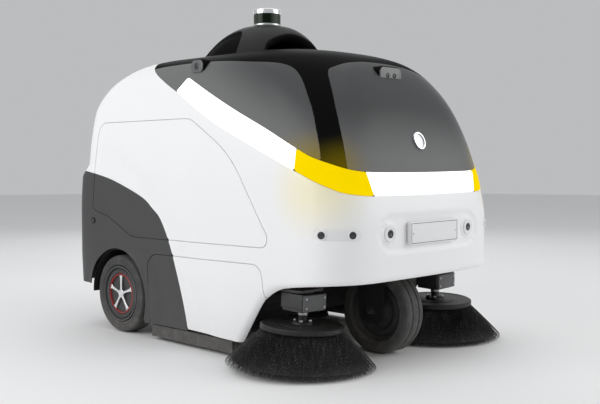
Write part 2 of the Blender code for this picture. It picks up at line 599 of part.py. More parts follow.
def build_front_wheel():
    """Steered nose wheel in its fork, with the kingpin turning in a bearing on the chassis."""
    bead = 0.104
    spindle = 0.010
    tyre = turned("front_tyre", tyre_profile(FRONT_WHEEL_RADIUS, bead, FRONT_TYRE_WIDTH, (-0.019, 0.019)), "X",
                  segments=32)
    part(tyre, "tyre_rubber").location = FRONT_WHEEL
    hub = turned("front_rim", [(spindle + FIT, -0.046), (0.030, -0.046), (0.040, -0.020), (bead - FIT, -0.034),
                               (bead - FIT, 0.034), (0.040, 0.020), (0.030, 0.046), (spindle + FIT, 0.046)],
                 "X", segments=32)
    part(hub, "dark_steel").location = FRONT_WHEEL
    outer = FORK_GAP + FORK_PLATE
    nut = outer + FIT
    axle = turned("front_axle", [(0, -nut - 0.010), (0.016, -nut - 0.010), (0.016, -nut), (spindle, -nut),
                                 (spindle, nut), (0.016, nut), (0.016, nut + 0.010), (0, nut + 0.010)], "X",
                  segments=18)
    part(axle, "satin_steel").location = FRONT_WHEEL
    y, z = FRONT_WHEEL.y, FRONT_WHEEL.z
    cheek = rounded([(y - 0.058, FORK_TOP, 0.004), (y - 0.052, z - 0.036, 0.030), (y + 0.052, z - 0.036, 0.030),
                     (y + 0.058, FORK_TOP, 0.004)])
    fork = prism("front_fork", cheek, "X", -outer, outer)
    combine(fork, "DIFFERENCE", box("tool", (-FORK_GAP, y - 0.2, 0.0), (FORK_GAP, y + 0.2, FORK_TOP - 0.012)),
            turned("tool", [(0, -0.1), (spindle + FIT, -0.1), (spindle + FIT, 0.1), (0, 0.1)], "X", FRONT_WHEEL, 18))
    pin = turned("tool", [(0, FORK_TOP - 0.006), (0.060, FORK_TOP - 0.006), (0.060, FORK_TOP + 0.008),
                          (0.024, FORK_TOP + 0.008), (0.024, KINGPIN_TOP), (0, KINGPIN_TOP)], "Z",
                 (0, y, 0), 24)
    combine(fork, "UNION", pin)
    part(fork, "dark_steel", (0, y, z))
    low, high = FORK_TOP + 0.0095, KINGPIN_TOP - 0.004
    ring = turned("steering_bearing", [(0.0245, low), (0.055, low), (0.055, 0.352), (0.042, 0.356), (0.042, high),
                                       (0.0245, high)], "Z", (0, y, 0), 30)
    part(ring, "satin_steel")


# ---------------------------------------------------------------- brushes
def build_side_brushes():
    """Two tilted disc brushes, each on a motor carried by a lifting arm."""
    for side, sign in SIDES:
        lean = Vector((-sign, -1.0, 0.0)).normalized() * math.tan(BRUSH_TILT)
        axis = (Vector((0, 0, 1)) + lean).normalized()
        foot = Vector((sign * BRUSH.x, BRUSH.y, 0.001 + BRUSH_RADIUS * math.sin(BRUSH_TILT)))
        frame = Matrix.Translation(foot) @ Vector((0, 0, 1)).rotation_difference(axis).to_matrix().to_4x4()
        top = BRUSH_DISC_TOP - foot.z

        skirt = turned("side_brush_bristles_" + side,
                       [(0.100, top - 0.020), (0.128, top - 0.020), (BRUSH_RADIUS, 0.0), (BRUSH_RADIUS - 0.030, 0.0)],
                       segments=30)
        disc = turned("side_brush_disc_" + side,
                      [(0, top - 0.019), (BRUSH_DISC_RADIUS - 0.002, top - 0.019), (BRUSH_DISC_RADIUS, top - 0.016),
                       (BRUSH_DISC_RADIUS, top - 0.003), (BRUSH_DISC_RADIUS - 0.003, top), (0.034, top),
                       (0.034, top + 0.008), (0.014, top + 0.010), (0.014, top + 0.026), (0, top + 0.026)],
                      segments=30)
        for item, material in ((skirt, "bristle_nylon"), (disc, "black_plastic")):
            part(item, material).matrix_world = frame

        case = softened(box("side_brush_motor_" + side, (-MOTOR_HALF[0], -MOTOR_HALF[1], MOTOR_Z[0] - foot.z),
                            (MOTOR_HALF[0], MOTOR_HALF[1], MOTOR_Z[1] - foot.z)), 0.004)
        shaft_low, can_radius, can_top = top + 0.0265, MOTOR_CAN[0], MOTOR_CAN[1] - foot.z
        combine(case, "UNION", turned("tool", [(0, shaft_low), (0.024, shaft_low), (0.024, MOTOR_Z[0]), (0, MOTOR_Z[0])],
                                      segments=24),
                turned("tool", [(0, MOTOR_Z[1] - 0.020), (can_radius, MOTOR_Z[1] - 0.020),
                                (can_radius, can_top - 0.006), (can_radius - 0.006, can_top), (0, can_top)],
                       segments=24))
        part(case, "dark_steel").matrix_world = frame

        seat = ARM_SEAT
        y0, y1 = BRUSH.y - 0.060, BRUSH_PIVOT.y + 0.020
        inner, outer = sorted((sign * (BRUSH.x - 0.058), sign * (BRUSH.x + 0.058)))
        arm = prism("side_brush_arm_" + side, rounded([(inner, y0, 0.02), (outer, y0, 0.02),
                                                       (outer, BRUSH.y + 0.080, 0.02), (inner, BRUSH.y + 0.080, 0.02)]),
                    "Z", seat, seat + 0.008)
        web_low, web_high = sorted((sign * (BRUSH_PIVOT.x - 0.010), sign * (BRUSH_PIVOT.x + 0.014)))
        web = prism("tool", [(BRUSH.y + 0.052, seat + 0.001), (y1 - 0.004, BRUSH_PIVOT.z - 0.020),
                             (y1, BRUSH_PIVOT.z), (y1 - 0.004, BRUSH_PIVOT.z + 0.018),
                             (y1 - 0.030, BRUSH_PIVOT.z + 0.020), (BRUSH.y + 0.052, seat + 0.050)], "X",
                    web_low, web_high)
        combine(arm, "UNION", web)
        room = can_radius + 0.0008
        bore = turned("tool", [(0, seat - 0.05), (room, seat - 0.05), (room, seat + 0.05), (0, seat + 0.05)],
                      segments=24)
        bore.data.transform(frame)
        pin_hole = turned("tool", [(0, -0.5), (0.0083, -0.5), (0.0083, 0.5), (0, 0.5)], "X",
                          (0, BRUSH_PIVOT.y, BRUSH_PIVOT.z), 16)
        combine(arm, "DIFFERENCE", bore, pin_hole)
        part(arm, "dark_steel", (sign * BRUSH_PIVOT.x, BRUSH_PIVOT.y, BRUSH_PIVOT.z))


def build_main_brush():
    """Cylindrical sweeping brush, its hood and the rubber skirt round it."""
    core, half = 0.060, ROLLER_HALF
    profile = [(0, -half - 0.020), (0.018, -half - 0.020), (0.018, -half), (core, -half), (ROLLER_RADIUS, -half + 0.01),
               (ROLLER_RADIUS, half - 0.01), (core, half), (0.018, half), (0.018, half + 0.020), (0, half + 0.020)]
    roller = turned("main_brush_roller", profile, "X", segments=32)
    for k in range(8):
        angle = math.tau * k / 8
        groove = prism("tool", [(0.078, -0.010), (0.130, -0.021), (0.130, 0.021), (0.078, 0.010)], "X",
                       -half - 0.01, half + 0.01)
        groove.data.transform(Matrix.Rotation(angle, 4, "X"))
        combine(roller, "DIFFERENCE", groove)
    part(roller, "bristle_nylon").location = ROLLER

    y, z = ROLLER.y, ROLLER.z
    hood = prism("main_brush_housing", arc((y, z), 0.140, 60, 200, 12) + arc((y, z), 0.134, 200, 60, 12), "X",
                 -0.360, 0.360)
    for sign in (-1.0, 1.0):
        low, high = sorted((sign * 0.346, sign * 0.360))
        cheek = prism("tool", arc((y, z), 0.138, 58, 202, 12) + [(y - 0.120, 0.060), (y + 0.060, 0.060)], "X", low, high)
        combine(hood, "UNION", cheek)
    combine(hood, "DIFFERENCE", turned("tool", [(0, -0.4), (0.020, -0.4), (0.020, 0.4), (0, 0.4)], "X", ROLLER, 18))
    part(hood, "black_plastic")

    strip_low, strip_high = 0.012, 0.0555
    skirt = box("brush_skirt", (-0.430, 0.236, strip_low), (0.430, 0.242, strip_high))
    for sign in (-1.0, 1.0):
        low, high = sorted((sign * 0.424, sign * 0.430))
        combine(skirt, "UNION", box("tool", (low, SKIRT_FRONT_Y, strip_low), (high, 0.240, strip_high)))
    for sign in (-1.0, 1.0):
        low, high = sorted((sign * 0.350, sign * 0.427))
        combine(skirt, "UNION", box("tool", (low, -0.060, strip_high - 0.006), (high, 0.100, strip_high)))
    part(skirt, "tyre_rubber")


# ---------------------------------------------------------------- chassis and inner parts
def build_chassis():
    """Welded frame: two rails, cross members, posts, the nose plate and the brush arm pins."""
    rail_z = (0.268, 0.300)
    frame = box("chassis_frame", (-0.335, -0.200, rail_z[0]), (-0.305, 0.222, rail_z[1]))
    bars = [((0.305, -0.200, rail_z[0]), (0.335, 0.222, rail_z[1])),
            ((-0.334, -0.199, rail_z[0] + 0.001), (0.334, -0.160, rail_z[1] - 0.001)),
            ((-0.334, 0.190, rail_z[0] + 0.001), (0.334, 0.221, rail_z[1] - 0.001)),
            ((-0.170, -0.600, 0.360), (0.170, -0.140, 0.368))]
    for sign in (-1.0, 1.0):
        bars.append((*box_span(sign, 0.120, 0.160), (-0.200, -0.161), (0.298, 0.366)))
        bars.append((*box_span(sign, 0.306, 0.334), (0.180, 0.221), (0.270, 0.640)))
        bars.append((*box_span(sign, 0.307, 0.333), (0.181, 0.640), (0.610, 0.636)))
        bars.append((*box_span(sign, 0.307, 0.333), (0.500, 0.560), (0.090, 0.612)))
    for bar in bars:
        if len(bar) == 4:
            low_x, high_x, span_y, span_z = bar
            bar = ((low_x, span_y[0], span_z[0]), (high_x, span_y[1], span_z[1]))
        combine(frame, "UNION", box("tool", *bar))
    bore = turned("tool", [(0, 0.35), (0.0423, 0.35), (0.0423, 0.38), (0, 0.38)], centre=(0, FRONT_WHEEL.y, 0),
                  segments=30)
    combine(frame, "DIFFERENCE", bore)
    for sign in (-1.0, 1.0):
        lug_low, lug_high = sorted((sign * (BRUSH_PIVOT.x + 0.0143), sign * (BRUSH_PIVOT.x + 0.0203)))
        pin_low, pin_high = sorted((sign * (BRUSH_PIVOT.x - 0.020), sign * (BRUSH_PIVOT.x + 0.019)))
        y, z = BRUSH_PIVOT.y, BRUSH_PIVOT.z
        lug = prism("tool", [(y - 0.020, z - 0.018), (y + 0.060, z - 0.018), (y + 0.060, z + 0.006),
                             (y - 0.020, z + 0.018)], "X", lug_low, lug_high)
        combine(frame, "UNION", lug)
        tie_low, tie_high = sorted((sign * 0.320, sign * (BRUSH_PIVOT.x + 0.0195)))
        combine(frame, "UNION", box("tool", (tie_low, y + 0.036, z - 0.016), (tie_high, y + 0.058, z + 0.004)))
        combine(frame, "UNION", turned("tool", [(0, pin_low), (0.008, pin_low), (0.008, pin_high), (0, pin_high)],
                                       "X", (0, y, z), 16))
    part(frame, "dark_steel")


def box_span(sign, low, high):
    """The two ends of a span on the left or the right side, in rising order."""
    return tuple(sorted((sign * low, sign * high)))


def build_inside():
    """Dust hopper, battery, suction fan and control box."""
    y0, y1 = HOPPER_Y
    z0, z1 = HOPPER_Z
    wall = HOPPER_WALL
    bin_box = softened(box("dust_hopper", (-HOPPER_HALF, y0, z0), (HOPPER_HALF, y1, z1)), 0.012)
    combine(bin_box, "DIFFERENCE",
            box("tool", (-HOPPER_HALF + wall, y0 + wall, z0 + wall), (HOPPER_HALF - wall, y1 - wall, FAR)),
            box("tool", (-HOPPER_HALF + 0.03, y0 - 0.1, z0 + 0.12), (HOPPER_HALF - 0.03, y0 + 0.1, FAR)))
    grip = rounded([(-0.110, z1 - 0.110, 0.02), (0.110, z1 - 0.110, 0.02), (0.110, z1 - 0.050, 0.02),
                    (-0.110, z1 - 0.050, 0.02)])
    combine(bin_box, "DIFFERENCE", prism("tool", grip, "Y", y1 - 0.1, y1 + 0.1))
    part(bin_box, "black_plastic", (0, y1, z0))

    battery = softened(box("battery_pack", (-0.240, -0.130, 0.372), (0.240, 0.150, 0.600)), 0.012)
    part(battery, "battery_case")
    fan = turned("vacuum_fan", [(0, 0.640), (0.130, 0.640), (0.138, 0.652), (0.138, 0.720), (0.120, 0.735),
                                (0.060, 0.742), (0.060, 0.780), (0, 0.780)], "Z", (0, 0.420, 0), 30)
    tray = box("tool", (-0.3065, 0.400, 0.6364), (0.3065, 0.440, 0.648))
    part(combine(fan, "UNION", tray), "black_plastic")
    control = softened(box("control_box", (-0.150, -0.440, 0.440), (0.150, -0.200, 0.560)), 0.010)
    foot = box("tool", (-0.100, -0.400, 0.3683), (0.100, -0.240, 0.445))
    part(combine(control, "UNION", foot), "satin_steel")


def main():
    """Build the whole machine."""
    clear_scene()
    shell = combine(hull("shell"), "DIFFERENCE", hull("tool", -SKIN))
    build_panels(shell)
    build_doors(shell)
    for name in ("shell", "glass_source"):
        bpy.data.objects.remove(bpy.data.objects[name], do_unlink=True)
    build_roof()
    build_fittings()
    build_rear_wheels()
    build_front_wheel()
    build_side_brushes()
    build_main_brush()
    build_chassis()
    build_inside()
    print(len(bpy.data.objects), "sub-parts")


main()
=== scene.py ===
"""Looks of a driverless floor sweeper: body panels, glass, lights, sensors, wheels and brushes.

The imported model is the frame.  Every panel here is a piece of one hull surface, cut along outlines in
the side view (y, z) or the front view (x, z), given a rounded rim and a wall thickness.
"""
import json
import logging
import math
from dataclasses import dataclass, field
from enum import Enum
from typing import Callable, Sequence

import bpy
import numpy as np
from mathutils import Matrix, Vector

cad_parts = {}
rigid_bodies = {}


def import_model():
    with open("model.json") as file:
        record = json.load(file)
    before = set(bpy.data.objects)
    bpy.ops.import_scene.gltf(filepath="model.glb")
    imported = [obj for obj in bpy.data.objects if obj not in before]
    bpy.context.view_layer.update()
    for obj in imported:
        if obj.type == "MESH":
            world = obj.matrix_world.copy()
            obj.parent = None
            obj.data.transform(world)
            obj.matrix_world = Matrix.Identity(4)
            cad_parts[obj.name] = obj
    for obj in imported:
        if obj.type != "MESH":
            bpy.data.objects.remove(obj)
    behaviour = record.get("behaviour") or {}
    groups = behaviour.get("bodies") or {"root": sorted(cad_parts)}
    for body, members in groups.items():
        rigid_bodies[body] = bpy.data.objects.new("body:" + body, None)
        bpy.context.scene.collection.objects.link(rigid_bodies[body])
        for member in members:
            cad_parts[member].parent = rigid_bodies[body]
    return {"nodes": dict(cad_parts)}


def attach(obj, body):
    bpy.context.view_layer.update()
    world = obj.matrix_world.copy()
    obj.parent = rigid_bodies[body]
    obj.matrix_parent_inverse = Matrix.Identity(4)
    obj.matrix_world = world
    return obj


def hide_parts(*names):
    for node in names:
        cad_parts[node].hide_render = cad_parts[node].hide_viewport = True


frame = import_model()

LOG = logging.getLogger("sweeper")
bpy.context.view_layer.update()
Array = np.ndarray
Node = bpy.types.ShaderNode
Socket = bpy.types.NodeSocket
AXIS_GAP = 0.0001  # radius of the rings where a turned shape meets its axis


class Side(Enum):
    """The two sides of the machine, with the sign of x."""

    LEFT = -1
    RIGHT = 1

    @property
    def word(self) -> str:
        """The side's name as the nodes use it."""
        return self.name.lower()


# ---------------------------------------------------------------- mesh making
def make_piece(name: str, points: Array, faces: Sequence[Array], body: str, replaced: Sequence[str] = (),
               normals: Array | None = None, sharp: float = 35.0) -> bpy.types.Object:
    """Turn arrays into a shaded mesh object that rides on a CAD body.

    Args:
        name: the piece's name.
        points: vertex places, (n, 3), in metres.
        faces: one or more arrays of equally long faces, each (m, k) vertex numbers.
        body: the CAD body that the piece moves with.
        replaced: CAD nodes that the piece stands for.
        normals: one normal per vertex, or None to shade by angle.
        sharp: edges sharper than this many degrees are hard, where no normals are given.

    Returns:
        The new object, at the origin.
    """
    mesh = bpy.data.meshes.new(name)
    sizes = np.concatenate([np.full(len(block), block.shape[1]) for block in faces])
    corners = np.concatenate([np.asarray(block).reshape(-1) for block in faces])
    starts = np.concatenate([[0], np.cumsum(sizes)[:-1]])
    mesh.vertices.add(len(points))
    mesh.vertices.foreach_set("co", np.ascontiguousarray(points, dtype=np.float32).reshape(-1))
    mesh.loops.add(len(corners))
    mesh.loops.foreach_set("vertex_index", corners.astype(np.int32))
    mesh.polygons.add(len(sizes))
    mesh.polygons.foreach_set("loop_start", starts.astype(np.int32))
    mesh.polygons.foreach_set("loop_total", sizes.astype(np.int32))
    mesh.update(calc_edges=True)
    mesh.validate()
    mesh.shade_smooth()
    if normals is None:
        mesh.set_sharp_from_angle(angle=math.radians(sharp))
    else:
        unit = normals / np.maximum(np.linalg.norm(normals, axis=1, keepdims=True), 1e-9)
        mesh.normals_split_custom_set_from_vertices(unit.astype(np.float32).tolist())
    item = bpy.data.objects.new(name, mesh)
    bpy.context.scene.collection.objects.link(item)
    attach(item, body)
    if replaced:
        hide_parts(*replaced)
    return item


def grid_faces(rows: int, columns: int, round_rows: bool = False, round_columns: bool = False) -> Array:
    """Quads of a grid of rows by columns of vertices, closed on itself where asked.

    Args:
        rows: vertices along the first parameter.
        columns: vertices along the second parameter.
        round_rows: the last row joins the first.
        round_columns: the last column joins the first.

    Returns:
        (m, 4) vertex numbers.
    """
    i = np.arange(rows if round_rows else rows - 1)[:, None]
    j = np.arange(columns if round_columns else columns - 1)[None, :]
    i2, j2 = (i + 1) % rows, (j + 1) % columns
    quads = np.stack(np.broadcast_arrays(i * columns + j, i2 * columns + j, i2 * columns + j2, i * columns + j2), -1)
    return quads.reshape(-1, 4)


@dataclass
class Soup:
    """Several closed shapes gathered into one piece's mesh."""

    points: list[Array] = field(default_factory=list)
    faces: dict[int, list[Array]] = field(default_factory=dict)
    count: int = 0

    def add(self, points: Array, *blocks: Array) -> "Soup":
        """Add a shape: its points and blocks of faces numbered from its own first point."""
        for block in blocks:
            self.faces.setdefault(block.shape[1], []).append(np.asarray(block) + self.count)
        self.points.append(np.asarray(points, dtype=float))
        self.count += len(points)
        return self

    def piece(self, name: str, body: str, replaced: Sequence[str] = (), sharp: float = 35.0) -> bpy.types.Object:
        """Make the gathered shapes one object; the arguments are those of make_piece."""
        faces = [np.concatenate(blocks) for blocks in self.faces.values()]
        return make_piece(name, np.concatenate(self.points), faces, body, replaced, None, sharp)


class Axis(Enum):
    """Direction of a turned or extruded shape; the value says where its own x, y and z go."""

    X = (1, 2, 0)
    Y = (2, 0, 1)
    Z = (0, 1, 2)

    def place(self, points: Array) -> Array:
        """Turn points whose own axis is z so that it lies along this axis."""
        turned = np.empty_like(points)
        turned[..., list(self.value)] = points
        return turned


def fillet(profile: Sequence[tuple[float, float, float]], steps: int = 4) -> Array:
    """A closed outline with each corner (u, v, radius) replaced by an arc that touches both its edges.

    Args:
        profile: corners in order, with the radius of each.
        steps: straight pieces in each arc.

    Returns:
        (n, 2) points of the closed outline.
    """
    corner = np.array([(u, v) for u, v, _ in profile], dtype=float)
    radius = np.array([r for _, _, r in profile], dtype=float)
    before, after = np.roll(corner, 1, axis=0) - corner, np.roll(corner, -1, axis=0) - corner
    before /= np.linalg.norm(before, axis=1, keepdims=True)
    after /= np.linalg.norm(after, axis=1, keepdims=True)
    half = np.arccos(np.clip(np.sum(before * after, axis=1), -1, 1)) / 2
    reach = radius / np.tan(half)
    t = np.linspace(0.0, 1.0, steps + 1)[None, :, None]
    start, end = corner + before * reach[:, None], corner + after * reach[:, None]
    middle = before + after
    middle /= np.maximum(np.linalg.norm(middle, axis=1, keepdims=True), 1e-9)
    centre = corner + middle * (radius / np.sin(half))[:, None]
    sweep = math.pi - 2 * half
    a, b = start - centre, end - centre
    weight = np.maximum(np.sin(sweep), 1e-9)[:, None, None]
    angle = sweep[:, None, None]
    arcs = centre[:, None] + (np.sin((1 - t) * angle) * a[:, None] + np.sin(t * angle) * b[:, None]) / weight
    points = [arcs[i] if radius[i] > 0 else corner[i:i + 1] for i in range(len(corner))]
    return np.concatenate(points)


def left_turning(outline: Array) -> Array:
    """A closed outline that runs counter-clockwise: turned round where half its cross-product sum is negative."""
    after = np.roll(outline, -1, axis=0)
    area = np.sum(outline[:, 0] * after[:, 1] - after[:, 0] * outline[:, 1]) / 2
    return outline[::-1] if area < 0 else outline


def turned(profile: Array, axis: Axis, centre: Sequence[float], segments: int = 64) -> tuple[Array, Array]:
    """A closed profile of (radius, distance along the axis) carried once round the axis.

    A ring of the profile at angle a has points (r cos a, r sin a, d).  A point on the axis is held a
    tenth of a millimetre off it, so that every row of the closed grid is a ring.

    Args:
        profile: (n, 2) closed profile.
        axis: the direction of the axis.
        centre: a point on the axis that distances count from.
        segments: pieces in a turn.

    Returns:
        Points and quads.
    """
    profile = left_turning(profile)
    angle = np.linspace(0.0, math.tau, segments, endpoint=False)[:, None]
    radius = np.maximum(profile[None, :, 0], AXIS_GAP)
    points = np.stack(np.broadcast_arrays(radius * np.cos(angle), radius * np.sin(angle), profile[None, :, 1]), -1)
    faces = grid_faces(segments, len(profile), True, True)
    return axis.place(points.reshape(-1, 3)) + np.asarray(centre), faces


def slab(outline: Array, low: float, high: float, soft: float, axis: Axis, steps: int = 3) -> tuple[Array, ...]:
    """An outline carried along an axis, with its two rims rounded.

    The rim rings follow the outline moved in by soft (1 - cos a) while they rise by soft sin a.

    Args:
        outline: (n, 2) closed outline, drawn in the two directions after the axis.
        low: start along the axis.
        high: end along the axis.
        soft: radius of the rims.
        axis: direction of the extrusion.
        steps: pieces in each rim.

    Returns:
        Points, side quads and the two end faces.
    """
    outline = left_turning(outline)
    a = np.linspace(0.0, math.pi / 2, steps + 1)
    depth = np.concatenate([soft * (1 - np.sin(a)), soft * (1 - np.cos(a))])
    level = np.concatenate([low + soft * (1 - np.cos(a)), high - soft * (1 - np.sin(a))])
    rings = [np.column_stack([moved_in(outline, d), np.full(len(outline), z)]) for d, z in zip(depth, level)]
    count = len(outline)
    points = np.concatenate(rings)
    sheet = grid_faces(len(rings), count, False, True)[:, ::-1]
    ends = np.array([np.arange(count)[::-1], (len(rings) - 1) * count + np.arange(count)])
    return axis.place(points), sheet, ends


def moved_in(outline: Array, distance: float) -> Array:
    """A counter-clockwise outline with each point moved inwards along the mean of its edges' normals."""
    behind, ahead = outline - np.roll(outline, 1, axis=0), np.roll(outline, -1, axis=0) - outline
    unit = [np.stack([-edge[:, 1], edge[:, 0]], 1) / np.maximum(np.linalg.norm(edge, axis=1, keepdims=True), 1e-9)
            for edge in (behind, ahead)]
    middle = unit[0] + unit[1]
    middle /= np.maximum(np.sum(middle * middle, axis=1, keepdims=True) / 2, 0.3)
    return outline + middle * distance


def band_between(outer: Array, inner: Array, low: float, high: float) -> Soup:
    """A square-edged ring between two outlines of equally many points, carried along Y from low to high."""
    count = len(outer)
    rings = [np.column_stack([line, np.full(count, y)]) for line, y in
             ((outer, low), (inner, low), (inner, high), (outer, high))]
    points = Axis.Y.place(np.concatenate(rings))
    return Soup().add(points, grid_faces(4, count, True, True))


def slot_outline(length: float, height: float, centre: tuple[float, float] = (0.0, 0.0), steps: int = 10) -> Array:
    """A slot with round ends, its long side along the first direction."""
    angle = np.linspace(-math.pi / 2, math.pi / 2, steps + 1)
    reach = (length - height) / 2
    right = np.stack([reach + height / 2 * np.cos(angle), height / 2 * np.sin(angle)], 1)
    return np.concatenate([right, -right]) + np.asarray(centre)


def monotone(knots: Array, values: Array, at: Array) -> Array:
    """Monotone cubic through the knots, by Fritsch and Carlson's harmonic mean of the slopes."""
    step = np.diff(knots)
    slope = np.diff(values) / step
    tangent = np.zeros(len(knots))
    same = slope[:-1] * slope[1:] > 0.0
    early, late = 2 * step[1:] + step[:-1], step[1:] + 2 * step[:-1]
    first, second = np.where(same, slope[:-1], 1.0), np.where(same, slope[1:], 1.0)
    tangent[1:-1] = np.where(same, (early + late) / (early / first + late / second), 0.0)
    tangent[0], tangent[-1] = slope[0], slope[-1]
    index = np.clip(np.searchsorted(knots, at, side="right") - 1, 0, len(step) - 1)
    t, h = (at - knots[index]) / step[index], step[index]
    return ((1 + 2 * t) * (1 - t) ** 2 * values[index] + t * (1 - t) ** 2 * h * tangent[index]
            + t * t * (3 - 2 * t) * values[index + 1] + t * t * (t - 1) * h * tangent[index + 1])


def spline(points: Sequence[tuple[float, float]], steps: int = 8) -> Array:
    """Catmull-Rom curve through the points: the cubic with tangents of half the neighbours' distance."""
    p = np.asarray(points, dtype=float)
    p = np.concatenate([[2 * p[0] - p[1]], p, [2 * p[-1] - p[-2]]])
    t = np.linspace(0.0, 1.0, steps, endpoint=False)[None, :, None]
    a, b, c, d = (p[i:len(p) - 3 + i, None] for i in range(4))
    curve = 0.5 * (2 * b + (c - a) * t + (2 * a - 5 * b + 4 * c - d) * t ** 2 + (3 * b - a - 3 * c + d) * t ** 3)
    return np.concatenate([curve.reshape(-1, p.shape[1]), p[-2:-1]])


def ramp(value: Array, low: float, high: float) -> Array:
    """Smooth step from 0 at low to 1 at high: 3 t t - 2 t t t."""
    t = np.clip((value - low) / (high - low), 0.0, 1.0)
    return t * t * (3.0 - 2.0 * t)


@dataclass
class Outline:
    """A closed region of a view, read as a signed distance."""

    points: Array

    def inside(self, u: Array, v: Array) -> Array:
        """Distance from the region's edge, positive inside.

        The distance is the least over the edges; a point is inside where a ray to the right crosses
        an odd number of edges.

        Args:
            u: first coordinate of the view, any shape.
            v: second coordinate, of the same shape.

        Returns:
            Signed distances of that shape.
        """
        p, start = np.stack([u.reshape(-1), v.reshape(-1)], 1), self.points
        edge = np.roll(start, -1, axis=0) - start
        nearest = np.full(len(p), np.inf)
        crossings = np.zeros(len(p), dtype=bool)
        for origin, along in zip(start, edge):
            arm = p - origin
            t = np.clip(arm @ along / max(along @ along, 1e-18), 0.0, 1.0)
            gap = arm - t[:, None] * along
            nearest = np.minimum(nearest, np.einsum("ij,ij->i", gap, gap))
            spans = (origin[1] > p[:, 1]) != (origin[1] + along[1] > p[:, 1])
            if spans.any():
                crossings ^= spans & (arm[:, 0] < along[0] * arm[:, 1] / (along[1] if along[1] else 1e-18))
        return (np.sqrt(nearest) * np.where(crossings, 1.0, -1.0)).reshape(u.shape)


def strip_distance(line: Array, u: Array, v: Array) -> Array:
    """Distance from an open line, positive on the left of its direction."""
    p, start = np.stack([u.reshape(-1), v.reshape(-1)], 1), line[:-1]
    nearest = np.full(len(p), np.inf)
    signed = np.zeros(len(p))
    for origin, along in zip(start, np.diff(line, axis=0)):
        arm = p - origin
        t = np.clip(arm @ along / (along @ along), 0.0, 1.0)
        gap = arm - t[:, None] * along
        reach = np.einsum("ij,ij->i", gap, gap)
        closer = reach < nearest
        nearest = np.where(closer, reach, nearest)
        signed = np.where(closer, np.sign(along[0] * arm[:, 1] - along[1] * arm[:, 0]), signed)
    return (np.sqrt(nearest) * signed).reshape(u.shape)


# ---------------------------------------------------------------- finishes
@dataclass
class Tree:
    """A node tree with short ways to add the nodes that this file uses."""

    tree: bpy.types.NodeTree

    def node(self, kind: str, **settings: object) -> Node:
        """Add a node and set its properties."""
        made = self.tree.nodes.new(kind)
        for key, value in settings.items():
            setattr(made, key, value)
        return made

    def feed(self, socket: Socket, value: object) -> None:
        """Link an output, or set a plain value."""
        if isinstance(value, bpy.types.NodeSocket):
            self.tree.links.new(value, socket)
        else:
            socket.default_value = value

    def math(self, operation: str, a: object, b: object = 0.0, clamp: bool = False) -> Socket:
        """Result of a Math node."""
        made = self.node("ShaderNodeMath", operation=operation, use_clamp=clamp)
        self.feed(made.inputs[0], a)
        self.feed(made.inputs[1], b)
        return made.outputs[0]

    def span(self, value: object, low: float, high: float, out_low: object = 0.0, out_high: object = 1.0,
             kind: str = "SMOOTHSTEP") -> Socket:
        """Result of a Map Range node from low..high to out_low..out_high."""
        made = self.node("ShaderNodeMapRange", interpolation_type=kind)
        for index, item in enumerate((value, low, high, out_low, out_high)):
            self.feed(made.inputs[index], item)
        return made.outputs[0]

    def mix(self, factor: object, a: object, b: object, blend: str = "MIX") -> Socket:
        """Result of mixing two colours."""
        made = self.node("ShaderNodeMix", data_type="RGBA", blend_type=blend)
        self.feed(made.inputs[0], factor)
        self.feed(made.inputs[6], a)
        self.feed(made.inputs[7], b)
        return made.outputs[2]

    def noise(self, place: Socket, scale: object, detail: float = 3.0, roughness: float = 0.55) -> Socket:
        """Value of a Noise Texture."""
        made = self.node("ShaderNodeTexNoise")
        self.feed(made.inputs["Vector"], place)
        self.feed(made.inputs["Scale"], scale)
        made.inputs["Detail"].default_value = detail
        made.inputs["Roughness"].default_value = roughness
        return made.outputs[0]

    def place(self, scale: Sequence[float] = (1.0, 1.0, 1.0)) -> Socket:
        """Object coordinates, stretched."""
        source = self.node("ShaderNodeTexCoord").outputs["Object"]
        mapping = self.node("ShaderNodeMapping")
        self.feed(mapping.inputs["Vector"], source)
        mapping.inputs["Scale"].default_value = scale
        return mapping.outputs[0]

    def parts(self, place: Socket) -> tuple[Socket, Socket, Socket]:
        """The x, y and z of a place."""
        made = self.node("ShaderNodeSeparateXYZ")
        self.feed(made.inputs[0], place)
        return made.outputs[0], made.outputs[1], made.outputs[2]


def new_group(name: str, inputs: Sequence[tuple[str, str, object]], outputs: Sequence[tuple[str, str]]
              ) -> tuple[Tree, Node, Node]:
    """An empty shader node group with named sockets.

    Args:
        name: the group's name.
        inputs: name, socket type and default value of each input.
        outputs: name and socket type of each output.

    Returns:
        The tree, its input node and its output node.
    """
    group = bpy.data.node_groups.new(name, "ShaderNodeTree")
    for label, kind, value in inputs:
        socket = group.interface.new_socket(label, in_out="INPUT", socket_type=kind)
        socket.default_value = value
    for label, kind in outputs:
        group.interface.new_socket(label, in_out="OUTPUT", socket_type=kind)
    tree = Tree(group)
    return tree, tree.node("NodeGroupInput"), tree.node("NodeGroupOutput")


